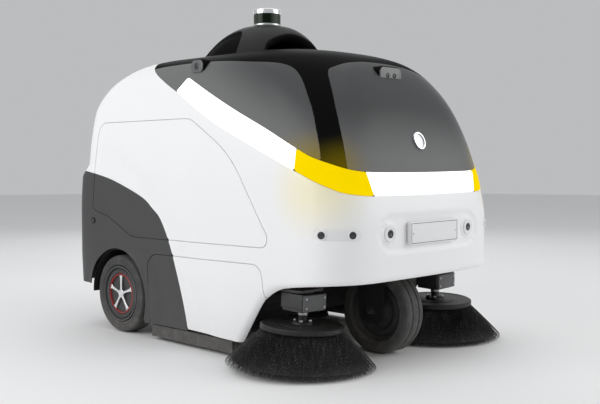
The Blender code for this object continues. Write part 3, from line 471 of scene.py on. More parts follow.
def surface_group() -> bpy.types.NodeTree:
    """Group that wears any surface: moulding grain, cloudy gloss, hairline scuffs and road dust.

    Grain is fine noise and a coarser swell.  Scuffs are the thin crests of noise stretched along the
    floor.  Dust thickens towards the floor and on faces that look up.
    """
    if "surface_wear" in bpy.data.node_groups:
        return bpy.data.node_groups["surface_wear"]
    real, colour = "NodeSocketFloat", "NodeSocketColor"
    tree, given, result = new_group(
        "surface_wear",
        [("Colour", colour, (0.5, 0.5, 0.5, 1.0)), ("Roughness", real, 0.4), ("Grain Scale", real, 900.0),
         ("Mottling", real, 0.04), ("Gloss Variation", real, 0.08), ("Scuffs", real, 0.1), ("Dust", real, 0.2),
         ("Dust Height", real, 0.35)],
        [("Colour", colour), ("Roughness", real), ("Height", real)])
    place = tree.place()
    grain = tree.noise(place, given.outputs["Grain Scale"], 2.0)
    cloud = tree.noise(place, 7.0, 4.0)
    blotch = tree.noise(place, 46.0, 3.0)
    streak = tree.noise(tree.place((30.0, 9.0, 160.0)), 1.3, 5.0, 0.6)
    scuff = tree.math("MULTIPLY", tree.span(streak, 0.64, 0.70), given.outputs["Scuffs"])
    height = tree.parts(place)[2]
    low = tree.math("SUBTRACT", 1.0, tree.math("DIVIDE", height, given.outputs["Dust Height"]), True)
    up = tree.parts(tree.node("ShaderNodeNewGeometry").outputs["Normal"])[2]
    shelf = tree.span(up, 0.2, 1.0, 0.0, 0.45)
    settle = tree.math("ADD", tree.math("POWER", low, 1.6), shelf, True)
    dust = tree.math("MULTIPLY", tree.math("MULTIPLY", settle, tree.span(blotch, 0.28, 0.78, 0.35, 1.0)),
                     given.outputs["Dust"], True)
    tone = tree.math("ADD", 1.0, tree.math("MULTIPLY", tree.math("SUBTRACT", cloud, 0.5), given.outputs["Mottling"]))
    grey = tree.node("ShaderNodeCombineColor")
    for socket in grey.inputs[:3]:
        tree.feed(socket, tone)
    base = tree.mix(1.0, given.outputs["Colour"], grey.outputs[0], "MULTIPLY")
    base = tree.mix(scuff, base, (0.42, 0.41, 0.39, 1.0))
    base = tree.mix(dust, base, (0.30, 0.28, 0.25, 1.0))
    tree.feed(result.inputs["Colour"], base)
    gloss = tree.math("MULTIPLY", tree.math("SUBTRACT", cloud, 0.5), given.outputs["Gloss Variation"])
    rough = tree.math("ADD", given.outputs["Roughness"], gloss)
    rough = tree.math("ADD", rough, tree.math("MULTIPLY", dust, 0.45))
    tree.feed(result.inputs["Roughness"], tree.math("ADD", rough, tree.math("MULTIPLY", scuff, 0.25), True))
    tree.feed(result.inputs["Height"], tree.math("ADD", grain, tree.math("MULTIPLY", scuff, -0.5)))
    return tree.tree


@dataclass(frozen=True)
class Finish:
    """A surface finish: its colour and how the shared wear group is set for it."""

    name: str
    colour: tuple[float, float, float]
    roughness: float
    slot: str
    metallic: float = 0.0
    coat: float = 0.0
    grain: float = 900.0
    bump: float = 0.03
    mottling: float = 0.06
    gloss_variation: float = 0.08
    scuffs: float = 0.08
    dust: float = 0.12
    dust_height: float = 0.35
    specular: float = 0.5
    anisotropy: float = 0.0

    def tint(self, tree: Tree) -> object:
        """Colour that goes into the wear group: plain here, a pattern in the finishes made from this one."""
        return (*self.colour, 1.0)

    def glow(self, tree: Tree, shader: Node) -> None:
        """Light that the surface gives off: none here."""

    def material(self) -> bpy.types.Material:
        """Build the material on first use."""
        label = f"finish_{self.name}"
        if label in bpy.data.materials:
            return bpy.data.materials[label]
        made = bpy.data.materials.new(label)
        made.use_nodes = True
        made.diffuse_color = (*self.colour, 1.0)
        tree = Tree(made.node_tree)
        shader = made.node_tree.nodes["Principled BSDF"]
        wear = tree.node("ShaderNodeGroup", node_tree=surface_group())
        values = {"Colour": self.tint(tree), "Roughness": self.roughness, "Grain Scale": self.grain,
                  "Mottling": self.mottling, "Gloss Variation": self.gloss_variation, "Scuffs": self.scuffs,
                  "Dust": self.dust, "Dust Height": self.dust_height}
        for label, value in values.items():
            tree.feed(wear.inputs[label], value)
        bump = tree.node("ShaderNodeBump")
        bump.inputs["Strength"].default_value = self.bump
        bump.inputs["Distance"].default_value = 0.002
        tree.feed(bump.inputs["Height"], self.relief(tree, wear.outputs["Height"]))
        tree.feed(shader.inputs["Base Color"], wear.outputs["Colour"])
        tree.feed(shader.inputs["Roughness"], wear.outputs["Roughness"])
        tree.feed(shader.inputs["Normal"], bump.outputs["Normal"])
        shader.inputs["Metallic"].default_value = self.metallic
        shader.inputs["Coat Weight"].default_value = self.coat
        shader.inputs["Coat Roughness"].default_value = 0.06
        shader.inputs["Specular IOR Level"].default_value = self.specular
        shader.inputs["Anisotropic"].default_value = self.anisotropy
        self.glow(tree, shader)
        return made

    def relief(self, tree: Tree, height: Socket) -> Socket:
        """Height that goes into the bump: the wear group's own here."""
        return height

    def dress(self, piece: bpy.types.Object, slot: str | None = None) -> bpy.types.Object:
        """Give a new piece this finish."""
        piece.data.materials.clear()
        piece.data.materials.append(self.material())
        return piece


def near_turn_light(tree: Tree, reach: tuple[float, float, float], centre: tuple[float, float, float]) -> Socket:
    """Mask of the painted glow round the corner lights: 1 at the centre, 0 past the reach, the same left and right."""
    x, y, z = tree.parts(tree.place())
    offsets = (tree.math("SUBTRACT", tree.math("ABSOLUTE", x), centre[0]), tree.math("SUBTRACT", y, centre[1]),
               tree.math("SUBTRACT", z, centre[2]))
    total: object = 0.0
    for offset, size in zip(offsets, reach):
        scaled = tree.math("DIVIDE", offset, size)
        total = tree.math("ADD", total, tree.math("MULTIPLY", scaled, scaled))
    return tree.span(tree.math("SQRT", total), 0.15, 1.0, 1.0, 0.0)


@dataclass(frozen=True)
class ShellPaint(Finish):
    """White paint with a painted yellow glow of the corner lights spilling onto it."""

    def tint(self, tree: Tree) -> Socket:
        """White, with a painted yellow glow near the corner lights."""
        # Painted yellow glow of the corner lights on the white shell.
        painted_glow = near_turn_light(tree, (0.17, 0.20, 0.19), (0.395, -0.585, 0.585))
        return tree.mix(tree.math("MULTIPLY", painted_glow, 0.55), (*self.colour, 1.0), (0.90, 0.80, 0.36, 1.0))


@dataclass(frozen=True)
class CanopyGlass(Finish):
    """Dark glass with painted light: a painted glow of the light band lightens it over the band and fades to dark
    towards the roof.
    """

    def tint(self, tree: Tree) -> Socket:
        """Grey with the light band's painted glow, lighter down to the band, and a painted yellow glow by the corner
        lights.
        """
        _, y, z = tree.parts(tree.place())
        belt = tree.span(y, -0.60, 0.10, 0.655, 0.985, "LINEAR")
        rise = tree.math("SUBTRACT", z, belt)
        # Painted glow of the light band on the glass: 1 at the band's top edge, fading to 0 a fifth of a metre higher.
        low = tree.span(rise, 0.0, 0.20, 1.0, 0.0)
        tone = tree.mix(low, (0.078, 0.079, 0.080, 1.0), (0.168, 0.170, 0.169, 1.0))
        # Painted amber glow of the corner lights on the glass.
        painted_glow = near_turn_light(tree, (0.17, 0.22, 0.15), (0.385, -0.560, 0.640))
        return tree.mix(tree.math("MULTIPLY", painted_glow, 0.80), tone, (0.30, 0.22, 0.004, 1.0))


@dataclass(frozen=True)
class CanopyFrame(Finish):
    """Gloss black moulding whose feet carry a painted amber glow of the corner lights."""

    def tint(self, tree: Tree) -> Socket:
        """Black, with a painted amber glow just over the corner lights."""
        # Painted amber glow of the corner lights on the frame's feet.
        painted_glow = near_turn_light(tree, (0.16, 0.20, 0.12), (0.330, -0.620, 0.640))
        return tree.mix(tree.math("MULTIPLY", painted_glow, 0.70), (*self.colour, 1.0), (0.19, 0.14, 0.001, 1.0))


@dataclass(frozen=True)
class LitPanel(Finish):
    """A diffusing light panel that shines evenly."""

    strength: float = 1.0
    body: tuple[float, float, float] = (0.8, 0.8, 0.8)

    def tint(self, tree: Tree) -> object:
        """Colour of the diffuser itself, a little deeper than its light in patches."""
        cloud = tree.noise(tree.place(), 14.0, 3.0)
        return tree.mix(tree.span(cloud, 0.35, 0.65), (*self.body, 1.0), tuple(c * 0.95 for c in self.body) + (1.0,))

    def glow(self, tree: Tree, shader: Node) -> None:
        """Emission, with the faint unevenness of the light guide behind."""
        cloud = tree.noise(tree.place(), 9.0, 2.0)
        tone = tree.mix(tree.span(cloud, 0.3, 0.7), (*self.colour, 1.0), tuple(c * 0.96 for c in self.colour) + (1.0,))
        tree.feed(shader.inputs["Emission Color"], tone)
        shader.inputs["Emission Strength"].default_value = self.strength


@dataclass(frozen=True)
class SensorGlass(Finish):
    """Lidar window: near black with a green cast, and a painted sheen that makes both flanks, as seen from the camera,
    greyer than the middle.
    """

    def tint(self, tree: Tree) -> Socket:
        """Green-black with a painted sheen: greyer at both flanks of the window as seen from the camera."""
        x, y, _ = tree.parts(tree.place())
        # Painted sheen: side measures the distance across the camera's line of sight, and the window is painted greyer
        # where it is large.
        side = tree.math("ABSOLUTE", tree.math("ADD", tree.math("MULTIPLY", x, 0.70),
                                               tree.math("MULTIPLY", tree.math("SUBTRACT", y, 0.065), -0.71)))
        return tree.mix(tree.span(side, 0.012, 0.024), (0.001, 0.006, 0.001, 1.0), (0.045, 0.055, 0.040, 1.0))


@dataclass(frozen=True)
class BrushedMetal(Finish):
    """Metal turned on a lathe: fine rings of tone and height."""

    def relief(self, tree: Tree, height: Socket) -> Socket:
        """Lines stretched far along one direction."""
        lines = tree.noise(tree.place((4.0, 4.0, 900.0)), 1.0, 3.0)
        return tree.math("ADD", height, lines)


@dataclass(frozen=True)
class TyreRubber(Finish):
    """Rubber with the fine moulding grain and grey bloom of a used tyre."""

    def tint(self, tree: Tree) -> Socket:
        """Dark grey with a paler bloom in patches."""
        bloom = tree.noise(tree.place(), 24.0, 5.0)
        return tree.mix(tree.span(bloom, 0.42, 0.75), (*self.colour, 1.0), tuple(c * 1.7 for c in self.colour) + (1.0,))


@dataclass(frozen=True)
class BristleNylon(Finish):
    """Black nylon filaments with paler, dusty tips."""

    def tint(self, tree: Tree) -> Socket:
        """Black above, greyer by the floor, with filament-to-filament tone."""
        place = tree.place()
        tone = tree.noise(tree.place((220.0, 220.0, 5.0)), 1.0, 2.0)
        tip = tree.span(tree.parts(place)[2], 0.045, 0.0)
        mixed = tree.mix(tree.span(tone, 0.52, 0.74), (*self.colour, 1.0), (0.105, 0.105, 0.108, 1.0))
        return tree.mix(tree.math("MULTIPLY", tip, 0.40), mixed, (0.085, 0.082, 0.080, 1.0))


class Look(Enum):
    """Every finish on the machine."""

    SHELL = ShellPaint("shell_white", (0.875, 0.878, 0.880), 0.42, "white_paint", coat=0.08, grain=420.0, bump=0.02,
                       mottling=0.02, scuffs=0.015, dust=0.16, dust_height=0.20)
    PLASTIC_WHITE = Finish("moulded_white", (0.80, 0.80, 0.805), 0.38, "white_plastic", grain=700.0, bump=0.04,
                           mottling=0.03, scuffs=0.02, dust=0.06)
    GREY = Finish("shell_grey", (0.042, 0.042, 0.043), 0.46, "grey_paint", coat=0.04, grain=520.0, bump=0.05,
                  mottling=0.14, scuffs=0.05, dust=0.16, dust_height=0.22)
    BLACK = Finish("gloss_black", (0.0050, 0.0050, 0.0054), 0.46, "gloss_black", grain=260.0, bump=0.01,
                   mottling=0.2, gloss_variation=0.05, scuffs=0.002, dust=0.003, specular=0.012)
    FRAME = CanopyFrame("canopy_black", (0.0050, 0.0050, 0.0054), 0.46, "gloss_black", grain=260.0, bump=0.01,
                        mottling=0.2, gloss_variation=0.05, scuffs=0.002, dust=0.003, specular=0.012)
    SATIN_BLACK = Finish("satin_black", (0.011, 0.011, 0.012), 0.48, "black_plastic", grain=800.0, bump=0.10,
                         mottling=0.25, scuffs=0.04, dust=0.08, specular=0.30)
    BRIDGE = Finish("bridge_grey", (0.024, 0.024, 0.025), 0.44, "gloss_black", grain=640.0, bump=0.05,
                    mottling=0.18, scuffs=0.02, dust=0.02, specular=0.10)
    GLASS = CanopyGlass("canopy_glass", (0.07, 0.07, 0.072), 0.26, "tinted_glass", grain=90.0, bump=0.004,
                        mottling=0.05, gloss_variation=0.04, scuffs=0.0, dust=0.004, specular=0.05)
    WHITE_LIGHT = LitPanel("light_white", (1.0, 1.0, 0.98), 0.30, "white_light", coat=0.2, bump=0.005, mottling=0.01,
                           scuffs=0.0, dust=0.0, strength=1.15)
    YELLOW_LIGHT = LitPanel("light_yellow", (1.0, 0.715, 0.0), 0.45, "yellow_light", bump=0.005, mottling=0.01,
                            scuffs=0.0, dust=0.0, specular=0.0, strength=0.70, body=(0.34, 0.25, 0.0002))
    LIDAR_GLASS = SensorGlass("lidar_glass", (0.01, 0.03, 0.014), 0.16, "green_glass", bump=0.0,
                              scuffs=0.0, dust=0.004, specular=0.12)
    POD_FACE = Finish("pod_face", (0.110, 0.111, 0.112), 0.34, "gloss_black", coat=0.1, grain=500.0, bump=0.03,
                      mottling=0.12, scuffs=0.0, dust=0.02)
    COLLAR = Finish("stop_collar", (0.62, 0.45, 0.02), 0.36, "yellow_light", grain=700.0, bump=0.04, scuffs=0.05)
    LENS = Finish("lens_glass", (0.010, 0.011, 0.014), 0.06, "lens_glass", coat=0.8, bump=0.0, mottling=0.3,
                  scuffs=0.0, dust=0.02)
    STEEL = BrushedMetal("satin_steel", (0.52, 0.53, 0.54), 0.30, "satin_steel", metallic=1.0, bump=0.10,
                         mottling=0.12, dust=0.04, anisotropy=0.3)
    OILED = BrushedMetal("oiled_steel", (0.11, 0.11, 0.115), 0.42, "satin_steel", metallic=1.0, bump=0.10,
                         mottling=0.15, dust=0.05, anisotropy=0.2)
    BRIGHT = BrushedMetal("bright_metal", (0.82, 0.83, 0.84), 0.20, "bright_metal", metallic=1.0, bump=0.05,
                          mottling=0.06, dust=0.03, anisotropy=0.3)
    IRON = Finish("coated_steel", (0.040, 0.041, 0.043), 0.46, "dark_steel", metallic=0.35, grain=1100.0, bump=0.16,
                  mottling=0.3, scuffs=0.12, dust=0.22)
    BRACKET = Finish("bracket_grey", (0.105, 0.107, 0.110), 0.42, "dark_steel", metallic=0.3, grain=1000.0, bump=0.12,
                     mottling=0.2, scuffs=0.10, dust=0.16)
    RUBBER = TyreRubber("tyre_rubber", (0.044, 0.044, 0.045), 0.72, "tyre_rubber", grain=1400.0, bump=0.30,
                        mottling=0.3, scuffs=0.10, dust=0.30, dust_height=0.30)
    BRISTLE = BristleNylon("bristle_nylon", (0.006, 0.006, 0.0065), 0.52, "bristle_nylon", grain=1200.0, bump=0.2,
                           mottling=0.4, scuffs=0.0, dust=0.06, dust_height=0.10, specular=0.22)
    RED = Finish("red_plastic", (0.50, 0.012, 0.010), 0.34, "red_plastic", grain=700.0, bump=0.04, scuffs=0.05)
    RED_TRIM = Finish("red_trim", (0.36, 0.030, 0.026), 0.40, "red_plastic", grain=700.0, bump=0.04, scuffs=0.03,
                      dust=0.08)
    BATTERY = Finish("battery_case", (0.028, 0.040, 0.068), 0.52, "battery_case", grain=600.0, bump=0.16,
                     mottling=0.2, scuffs=0.12, dust=0.25, dust_height=0.9)

    def dress(self, piece: bpy.types.Object) -> bpy.types.Object:
        """Give a new piece this finish."""
        return self.value.dress(piece)

    def dress_node(self, *nodes: str) -> None:
        """Give CAD nodes this finish in place of their plain one."""
        for name in nodes:
            item = frame["nodes"][name]
            item.data.materials.clear()
            item.data.materials.append(self.value.material())


# ---------------------------------------------------------------- hull and panels
@dataclass(frozen=True)
class Hull:
    """The machine's outer surface as a function of a place round it and a height.

    Each level is a superellipse-cornered outline.  A level's half width, front, rear and front corner
    size are monotone cubics through the stations.  The nose bows forward with the square of x.
    """

    stations: tuple[tuple[float, ...], ...] = (
        (0.050, 0.438, -0.705, 0.730, 0.200), (0.200, 0.445, -0.720, 0.737, 0.200),
        (0.300, 0.448, -0.727, 0.740, 0.200), (0.450, 0.448, -0.729, 0.740, 0.200),
        (0.600, 0.444, -0.709, 0.735, 0.215), (0.660, 0.440, -0.693, 0.689, 0.225),
        (0.740, 0.432, -0.669, 0.687, 0.235), (0.860, 0.412, -0.618, 0.680, 0.250),
        (0.950, 0.384, -0.555, 0.625, 0.260), (1.010, 0.350, -0.485, 0.530, 0.260),
        (1.045, 0.300, -0.405, 0.435, 0.260), (1.066, 0.210, -0.275, 0.315, 0.260),
        (1.075, 0.000, -0.035, 0.165, 0.200))
    rear_corner: float = 0.085
    power: float = 2.0 / 2.6
    bow: float = 0.020
    shares: tuple[float, ...] = (0.0, 0.15, 0.20, 0.66, 0.80, 1.0)

    def bare(self, around: Array, height: Array) -> Array:
        """Points of the plain surface.

        Args:
            around: 0 at the middle of the tail, over the right side to 1 at the middle of the nose, and
                over the left side to 2 at the tail again; any whole turn may be added.
            height: z, of the same shape.

        Returns:
            Points, with one more axis of length 3.
        """
        table = np.array(self.stations)
        width, front, rear, corner = (monotone(table[:, 0], table[:, k], height) for k in range(1, 5))
        corner, back = np.minimum(corner, width * 0.95), np.minimum(self.rear_corner, width * 0.5)
        turn = np.mod(around, 2.0)
        sign = np.where(turn > 1.0, -1.0, 1.0)
        s = np.where(turn > 1.0, 2.0 - turn, turn)
        starts = np.array(self.shares)
        stretch = np.clip(np.searchsorted(starts, s, side="right") - 1, 0, 4)
        t = (s - starts[stretch]) / (starts[stretch + 1] - starts[stretch])
        quarter = t * math.pi / 2
        sine, cosine = np.sin(quarter) ** self.power, np.abs(np.cos(quarter)) ** self.power
        x = np.choose(stretch, [t * (width - back), width - back + back * sine, width,
                                width - corner + corner * cosine, (1 - t) * (width - corner)])
        y = np.choose(stretch, [rear, rear - back + back * cosine, (1 - t) * (rear - back) + t * (front + corner),
                                front + corner - corner * sine, front])
        ahead = np.clip((front + corner - y) / corner, 0.0, 1.0) * (y < 0.0)
        y = y + self.bow * (x / np.maximum(width, 1e-6)) ** 2 * ahead
        return np.stack([sign * x, y, height], -1)


@dataclass(frozen=True)
class Lines:
    """Outlines that part the hull into panels, in the side view (y, z) or the front view (x, z)."""

    far: float = 0.85
    seam: float = 0.003

    def colour_break(self) -> Array:
        """Line between the white shell and the grey tail, from the sill to the tail."""
        return spline([(0.022, 0.030), (0.052, 0.172), (0.107, 0.335), (0.170, 0.449), (0.225, 0.493), (0.281, 0.528),
                       (0.398, 0.568), (0.521, 0.601), (0.665, 0.626), (self.far, 0.634)])

    def band_top(self) -> Array:
        """Upper edge of the light band, from its rear tip to the nose."""
        return spline([(0.085, 0.972), (-0.189, 0.852), (-0.380, 0.773), (-0.513, 0.712), (-0.567, 0.685),
                       (-0.624, 0.662), (-0.684, 0.637), (-0.740, 0.628), (-self.far, 0.627)])

    def band_bottom(self) -> Array:
        """Lower edge of the light band, from the notch to the nose."""
        return spline([(0.132, 0.922), (-0.106, 0.804), (-0.301, 0.725), (-0.522, 0.638), (-0.590, 0.608),
                       (-0.638, 0.586), (-0.674, 0.570), (-0.740, 0.555), (-self.far, 0.553)])

    def notch(self) -> Array:
        """Edge between the canopy and the white quarter panel, from the band up over the roof."""
        return spline([(0.132, 0.922), (0.225, 0.964), (0.340, 1.024), (0.450, 1.120)])

    def sill(self) -> Array:
        """Lower edge of the body: under the nose, round the side brush, along the flank."""
        nose = spline([(-self.far, 0.288), (-0.700, 0.286), (-0.612, 0.281), (-0.504, 0.268), (-0.442, 0.252),
                       (-0.386, 0.218), (-0.348, 0.172), (-0.305, 0.111), (-0.268, 0.058)])
        return np.concatenate([nose, [(0.030, 0.056)]])

    def arch(self) -> Array:
        """Wheel arch, from its rear end over the wheel to its front end."""
        angle = np.radians(np.linspace(8.0, 205.0, 48))
        return np.stack([0.445 + 0.178 * np.cos(angle), 0.150 + 0.178 * np.sin(angle)], 1)

    def white(self) -> Outline:
        """Whole white region, doors included."""
        up = self.colour_break()
        return Outline(np.concatenate([self.sill()[:-1], up[up[:, 1] > 0.0565], [(self.far, 1.12)],
                                       self.notch()[::-1], self.band_bottom()[1:]]))

    def grey(self) -> Outline:
        """Whole grey region, doors included."""
        up = self.colour_break()
        return Outline(np.concatenate([up[up[:, 1] > 0.0565][::-1], [(0.0275, 0.056), (0.284, 0.056)],
                                       self.arch()[::-1], [(0.640, 0.176), (self.far, 0.178)]]))

    def canopy(self) -> Outline:
        """Everything above the light band and the notch."""
        return Outline(np.concatenate([self.band_top()[::-1], self.notch(), [(-self.far, 1.12)]]))

    def band(self) -> Outline:
        """The light band, with its rear tip rounded."""
        tip = fillet([(0.085, 0.972, 0.012), (0.132, 0.922, 0.004), (-0.106, 0.804, 0.0), (-0.189, 0.852, 0.0)])
        keep = tip[(tip[:, 0] > 0.0)]
        return Outline(np.concatenate([self.band_top()[3:][::-1][:-1], keep, self.band_bottom()[2:]]))

    def upper_door(self) -> Outline:
        """Big service door."""
        return Outline(fillet([(0.590, 0.818, 0.045), (0.020, 0.820, 0.12), (-0.215, 0.690, 0.45),
                               (-0.430, 0.388, 0.03), (0.350, 0.378, 0.16), (0.520, 0.452, 0.12),
                               (0.610, 0.474, 0.02)], 9))

    def lower_door(self) -> Outline:
        """Brush service door; its front and lower edges are the body's sill."""
        top = fillet([(-0.372, 0.331, 0.045), (0.250, 0.322, 0.05), (0.250, 0.0, 0.0), (-0.6, 0.0, 0.0),
                      (-0.6, 0.200, 0.0), (-0.386, 0.218, 0.0)], 9)
        return Outline(top)

    def windshield(self) -> Outline:
        """Front glass, in the front view."""
        half = spline([(-0.354, 0.600), (-0.350, 0.654), (-0.343, 0.716), (-0.335, 0.778), (-0.320, 0.853),
                       (-0.294, 0.925), (-0.268, 0.966), (-0.235, 0.981), (-0.168, 0.998), (-0.078, 1.009),
                       (0.0, 1.011)])
        return Outline(np.concatenate([half, (half * (-1, 1))[::-1][1:]]))

    def side_window(self) -> Outline:
        """Side glass, in the side view; the band and the notch trim it below."""
        top = spline([(0.330, 1.021), (0.257, 1.027), (0.082, 1.029), (-0.070, 1.023), (-0.217, 1.009),
                      (-0.340, 0.997), (-0.402, 0.982), (-0.443, 0.958), (-0.487, 0.912), (-0.534, 0.842),
                      (-0.564, 0.778), (-0.592, 0.705), (-0.612, 0.620)])
        return Outline(np.concatenate([top, [(0.020, 0.600), (0.132, 0.700), (0.450, 0.950)]]))


Region = Callable[[Array], Array]


@dataclass
class PanelMaker:
    """Cuts closed panels with rounded rims out of the hull.

    A panel is the part of a grid on the hull where a signed distance is more than the rim's radius.
    From that contour a quarter round leads out to the seam and turns into the wall, which leads to the
    same cut of the surface one wall thickness further in.
    """

    hull: Hull = field(default_factory=Hull)
    lines: Lines = field(default_factory=Lines)
    cell: float = 0.008
    wall: float = 0.0035
    crown: float = 1.0745
    nose_eye: tuple[float, float] = (0.216, 0.439)
    corner_eyes: tuple[float, float, float] = (0.398, -0.661, 0.442)
    wheel: tuple[float, float] = (0.445, 0.150)

    def __post_init__(self) -> None:
        """Read each outline once."""
        self.grey, self.white = self.lines.grey(), self.lines.white()
        ahead_of_tail = [(0.28, 0.056), (0.28, 1.0), (-0.85, 1.0)]
        self.white_or_grey = Outline(np.concatenate([self.lines.sill()[:-1], ahead_of_tail]))
        self.canopy, self.band = self.lines.canopy(), self.lines.band()
        self.upper, self.lower = self.lines.upper_door(), self.lines.lower_door()
        self.windshield, self.side_window = self.lines.windshield(), self.lines.side_window()
        self.sill, self.arch, self.breakline = self.lines.sill(), self.lines.arch(), self.lines.colour_break()

    def dent(self, place: Array) -> Array:
        """How far the surface is pushed in, in metres, from its plain shape.

        The sum of: the rolled lower edge, a power of the distance to the sill, widest at the brush bay;
        the recess of the number plate and the sensor pills, steps; the flank's facet behind its crease, a
        ramp; and the wheel arch's raised lip and swell, negative ramps.
        """
        x, y, z = np.abs(place[..., 0]), place[..., 1], place[..., 2]
        total = np.zeros(x.shape)
        low = z < 0.36
        edge = np.full(x.shape, 1.0)
        edge[low] = strip_distance(self.sill[:-1], y[low], z[low])
        roll = 0.030 - 0.016 * ramp(-y, 0.40, 0.52)
        t = np.clip(1.0 - edge / roll, 0.0, 1.5)
        total += roll * 0.42 * t ** 2.1
        nose = y < -0.5
        pill = Outline(slot_outline(0.545, 0.125, (0.004, 0.437)))
        near = np.full(x.shape, -1.0)
        near[nose] = pill.inside(place[..., 0][nose], z[nose])
        total += 0.0065 * ramp(near, -0.002, 0.010) * nose
        for centre in (self.nose_eye[0], -self.nose_eye[0]):
            ring = np.hypot(place[..., 0] - centre, z - self.nose_eye[1])
            total -= 0.0045 * (ramp(-ring, -0.038, -0.033)) * nose
        along = (x - self.corner_eyes[0]) * 0.707 + (y - self.corner_eyes[1]) * 0.707
        across = z - self.corner_eyes[2]
        corner = 0.020 - np.hypot(np.maximum(np.abs(along) - 0.050, 0.0), across)
        total += 0.003 * ramp(corner, -0.002, 0.003) * nose
        crease = strip_distance(spline([(-0.190, -0.02), (-0.149, 0.077), (-0.054, 0.285), (0.025, 0.418),
                                        (0.149, 0.535), (0.229, 0.612), (0.330, 0.690), (0.50, 0.78)]), y, z)
        flank = ramp(-crease, -0.004, 0.085) * ramp(-z, -0.80, -0.62) * ramp(y, -0.25, -0.10)
        total += 0.0075 * flank * ramp(-y, -0.62, -0.50)
        ring = np.hypot(y - self.wheel[0], z - self.wheel[1])
        lip = ramp(-ring, -0.192, -0.186) * (z < 0.5) * (y > 0.2)
        swell = ramp(-ring, -0.285, -0.215) * (z < 0.5) * (y > 0.1)
        total -= 0.0035 * lip + 0.0045 * swell
        return total

    def field(self, around: Array, height: Array) -> tuple[Array, Array]:
        """Dented surface points and their outward normals on a grid that has one spare line all round."""
        place = self.hull.bare(around, height)
        out = self.normal(place)
        place = place - out * self.dent(place)[..., None]
        return place, self.normal(place)

    @staticmethod
    def normal(place: Array) -> Array:
        """Unit normals: the cross product of the grid's two directions."""
        up, along = np.gradient(place, axis=0), np.gradient(place, axis=1)
        out = np.cross(up, along)
        length = np.linalg.norm(out, axis=-1, keepdims=True)
        return np.where(length > 1e-12, out / np.maximum(length, 1e-12), [0.0, 0.0, 1.0])

    def levels(self, low: float, high: float) -> Array:
        """Heights evenly spaced along the hull's profile, with one spare level each way."""
        z = np.linspace(low, high, 600)
        table = np.array(self.hull.stations)
        width, front = (monotone(table[:, 0], table[:, k], z) for k in (1, 2))
        length = np.concatenate([[0], np.cumsum(np.sqrt(np.diff(z) ** 2 + np.diff(width) ** 2 + np.diff(front) ** 2))])
        count = max(int(length[-1] / self.cell), 8)
        even = np.interp(np.linspace(0, length[-1], count), length, z)
        return np.concatenate([[2 * even[0] - even[1]], even, [min(2 * even[-1] - even[-2], self.crown + 0.0004)]])

    def panel(self, name: str, region: Region, span: tuple[float, float, float, float], body: str,
              replaced: Sequence[str] = (), rim: float = 0.0014, wall: float | None = None, lift: float = 0.0,
              ring: bool = False) -> bpy.types.Object:
        """Cut one panel.

        Args:
            name: the piece's name.
            region: signed distance of each surface point, positive inside the panel.
            span: first and last place round the hull, first and last height.
            body: the CAD body that it rides on.
            replaced: CAD nodes that it stands for.
            rim: radius of the rounded rim.
            wall: wall thickness.
            lift: how far the panel stands off the hull.
            ring: the span goes once round, and its ends meet.

        Returns:
            The panel.
        """
        wall = self.wall if wall is None else wall
        first, last, low, high = span
        heights = self.levels(low, high)
        columns = int((last - first) * 2.15 / self.cell)
        step = (last - first) / (columns if ring else columns - 1)
        places = first + step * np.arange(-1, columns + 1)
        around, height = np.meshgrid(places, heights)
        place, _ = self.field(around, height)
        return self.cut(name, place, region(place), ring, body, replaced, rim, wall, lift)

    def cut(self, name: str, place: Array, value: Array, ring: bool, body: str, replaced: Sequence[str] = (),
            rim: float = 0.0014, wall: float = 0.005, lift: float = 0.0) -> bpy.types.Object:
        """Make a closed panel of the part of a grid surface where a value is positive.

        Args:
            name: the piece's name.
            place: grid of surface points with one spare line on each side.
            value: signed distance on the grid, positive inside the panel.
            ring: the columns go once round.
            body: the CAD body that it rides on.
            replaced: CAD nodes that it stands for.
            rim: radius of the rounded rim.
            wall: wall thickness.
            lift: how far the panel stands off the surface.

        Returns:
            The panel.
        """
        out = self.normal(place)
        up, along = np.gradient(place, axis=0), np.gradient(place, axis=1)
        value_up, value_along = np.gradient(value, axis=0), np.gradient(value, axis=1)
        uu, ua, aa = (np.einsum("...i,...i", a, b) for a, b in ((up, up), (up, along), (along, along)))
        size = np.maximum(uu * aa - ua * ua, 1e-18)
        a = (aa * value_up - ua * value_along) / size
        b = (uu * value_along - ua * value_up) / size
        slope = up * a[..., None] + along * b[..., None]
        steep = np.linalg.norm(slope, axis=-1)
        outward = -slope / np.maximum(steep, 1e-9)[..., None]
        value = value / np.clip(steep, 0.22, 1.3) - rim
        rows, columns = place.shape[0] - 2, place.shape[1] - 2
        inner = (slice(1, -1), slice(1, -1))
        quads = grid_faces(rows, columns, False, ring)
        triangles = np.concatenate([quads[:, [0, 1, 2]], quads[:, [0, 2, 3]]])
        arrays = [grid[inner].reshape(rows * columns, -1) for grid in (place + out * lift, out, outward)]
        bounded = value[inner].copy()
        bounded[[0, -1]] = np.minimum(bounded[[0, -1]], -0.0001)
        if not ring:
            bounded[:, [0, -1]] = np.minimum(bounded[:, [0, -1]], -0.0001)
        mesh = self.clip(arrays, bounded.reshape(-1), triangles)
        return self.close(name, *mesh, rim, wall, body, replaced)

    def spot(self, x: float, y: float, z: float) -> tuple[Array, Array]:
        """The place on the dented surface at a height, nearest to x and y, and its outward normal."""
        around, height = np.meshgrid(np.linspace(0.0, 2.0, 2401), z + np.array([-0.004, 0.0, 0.004]))
        place, out = self.field(around, height)
        best = int(np.argmin(np.hypot(place[1, :, 0] - x, place[1, :, 1] - y)))
        return place[1, best], out[1, best]

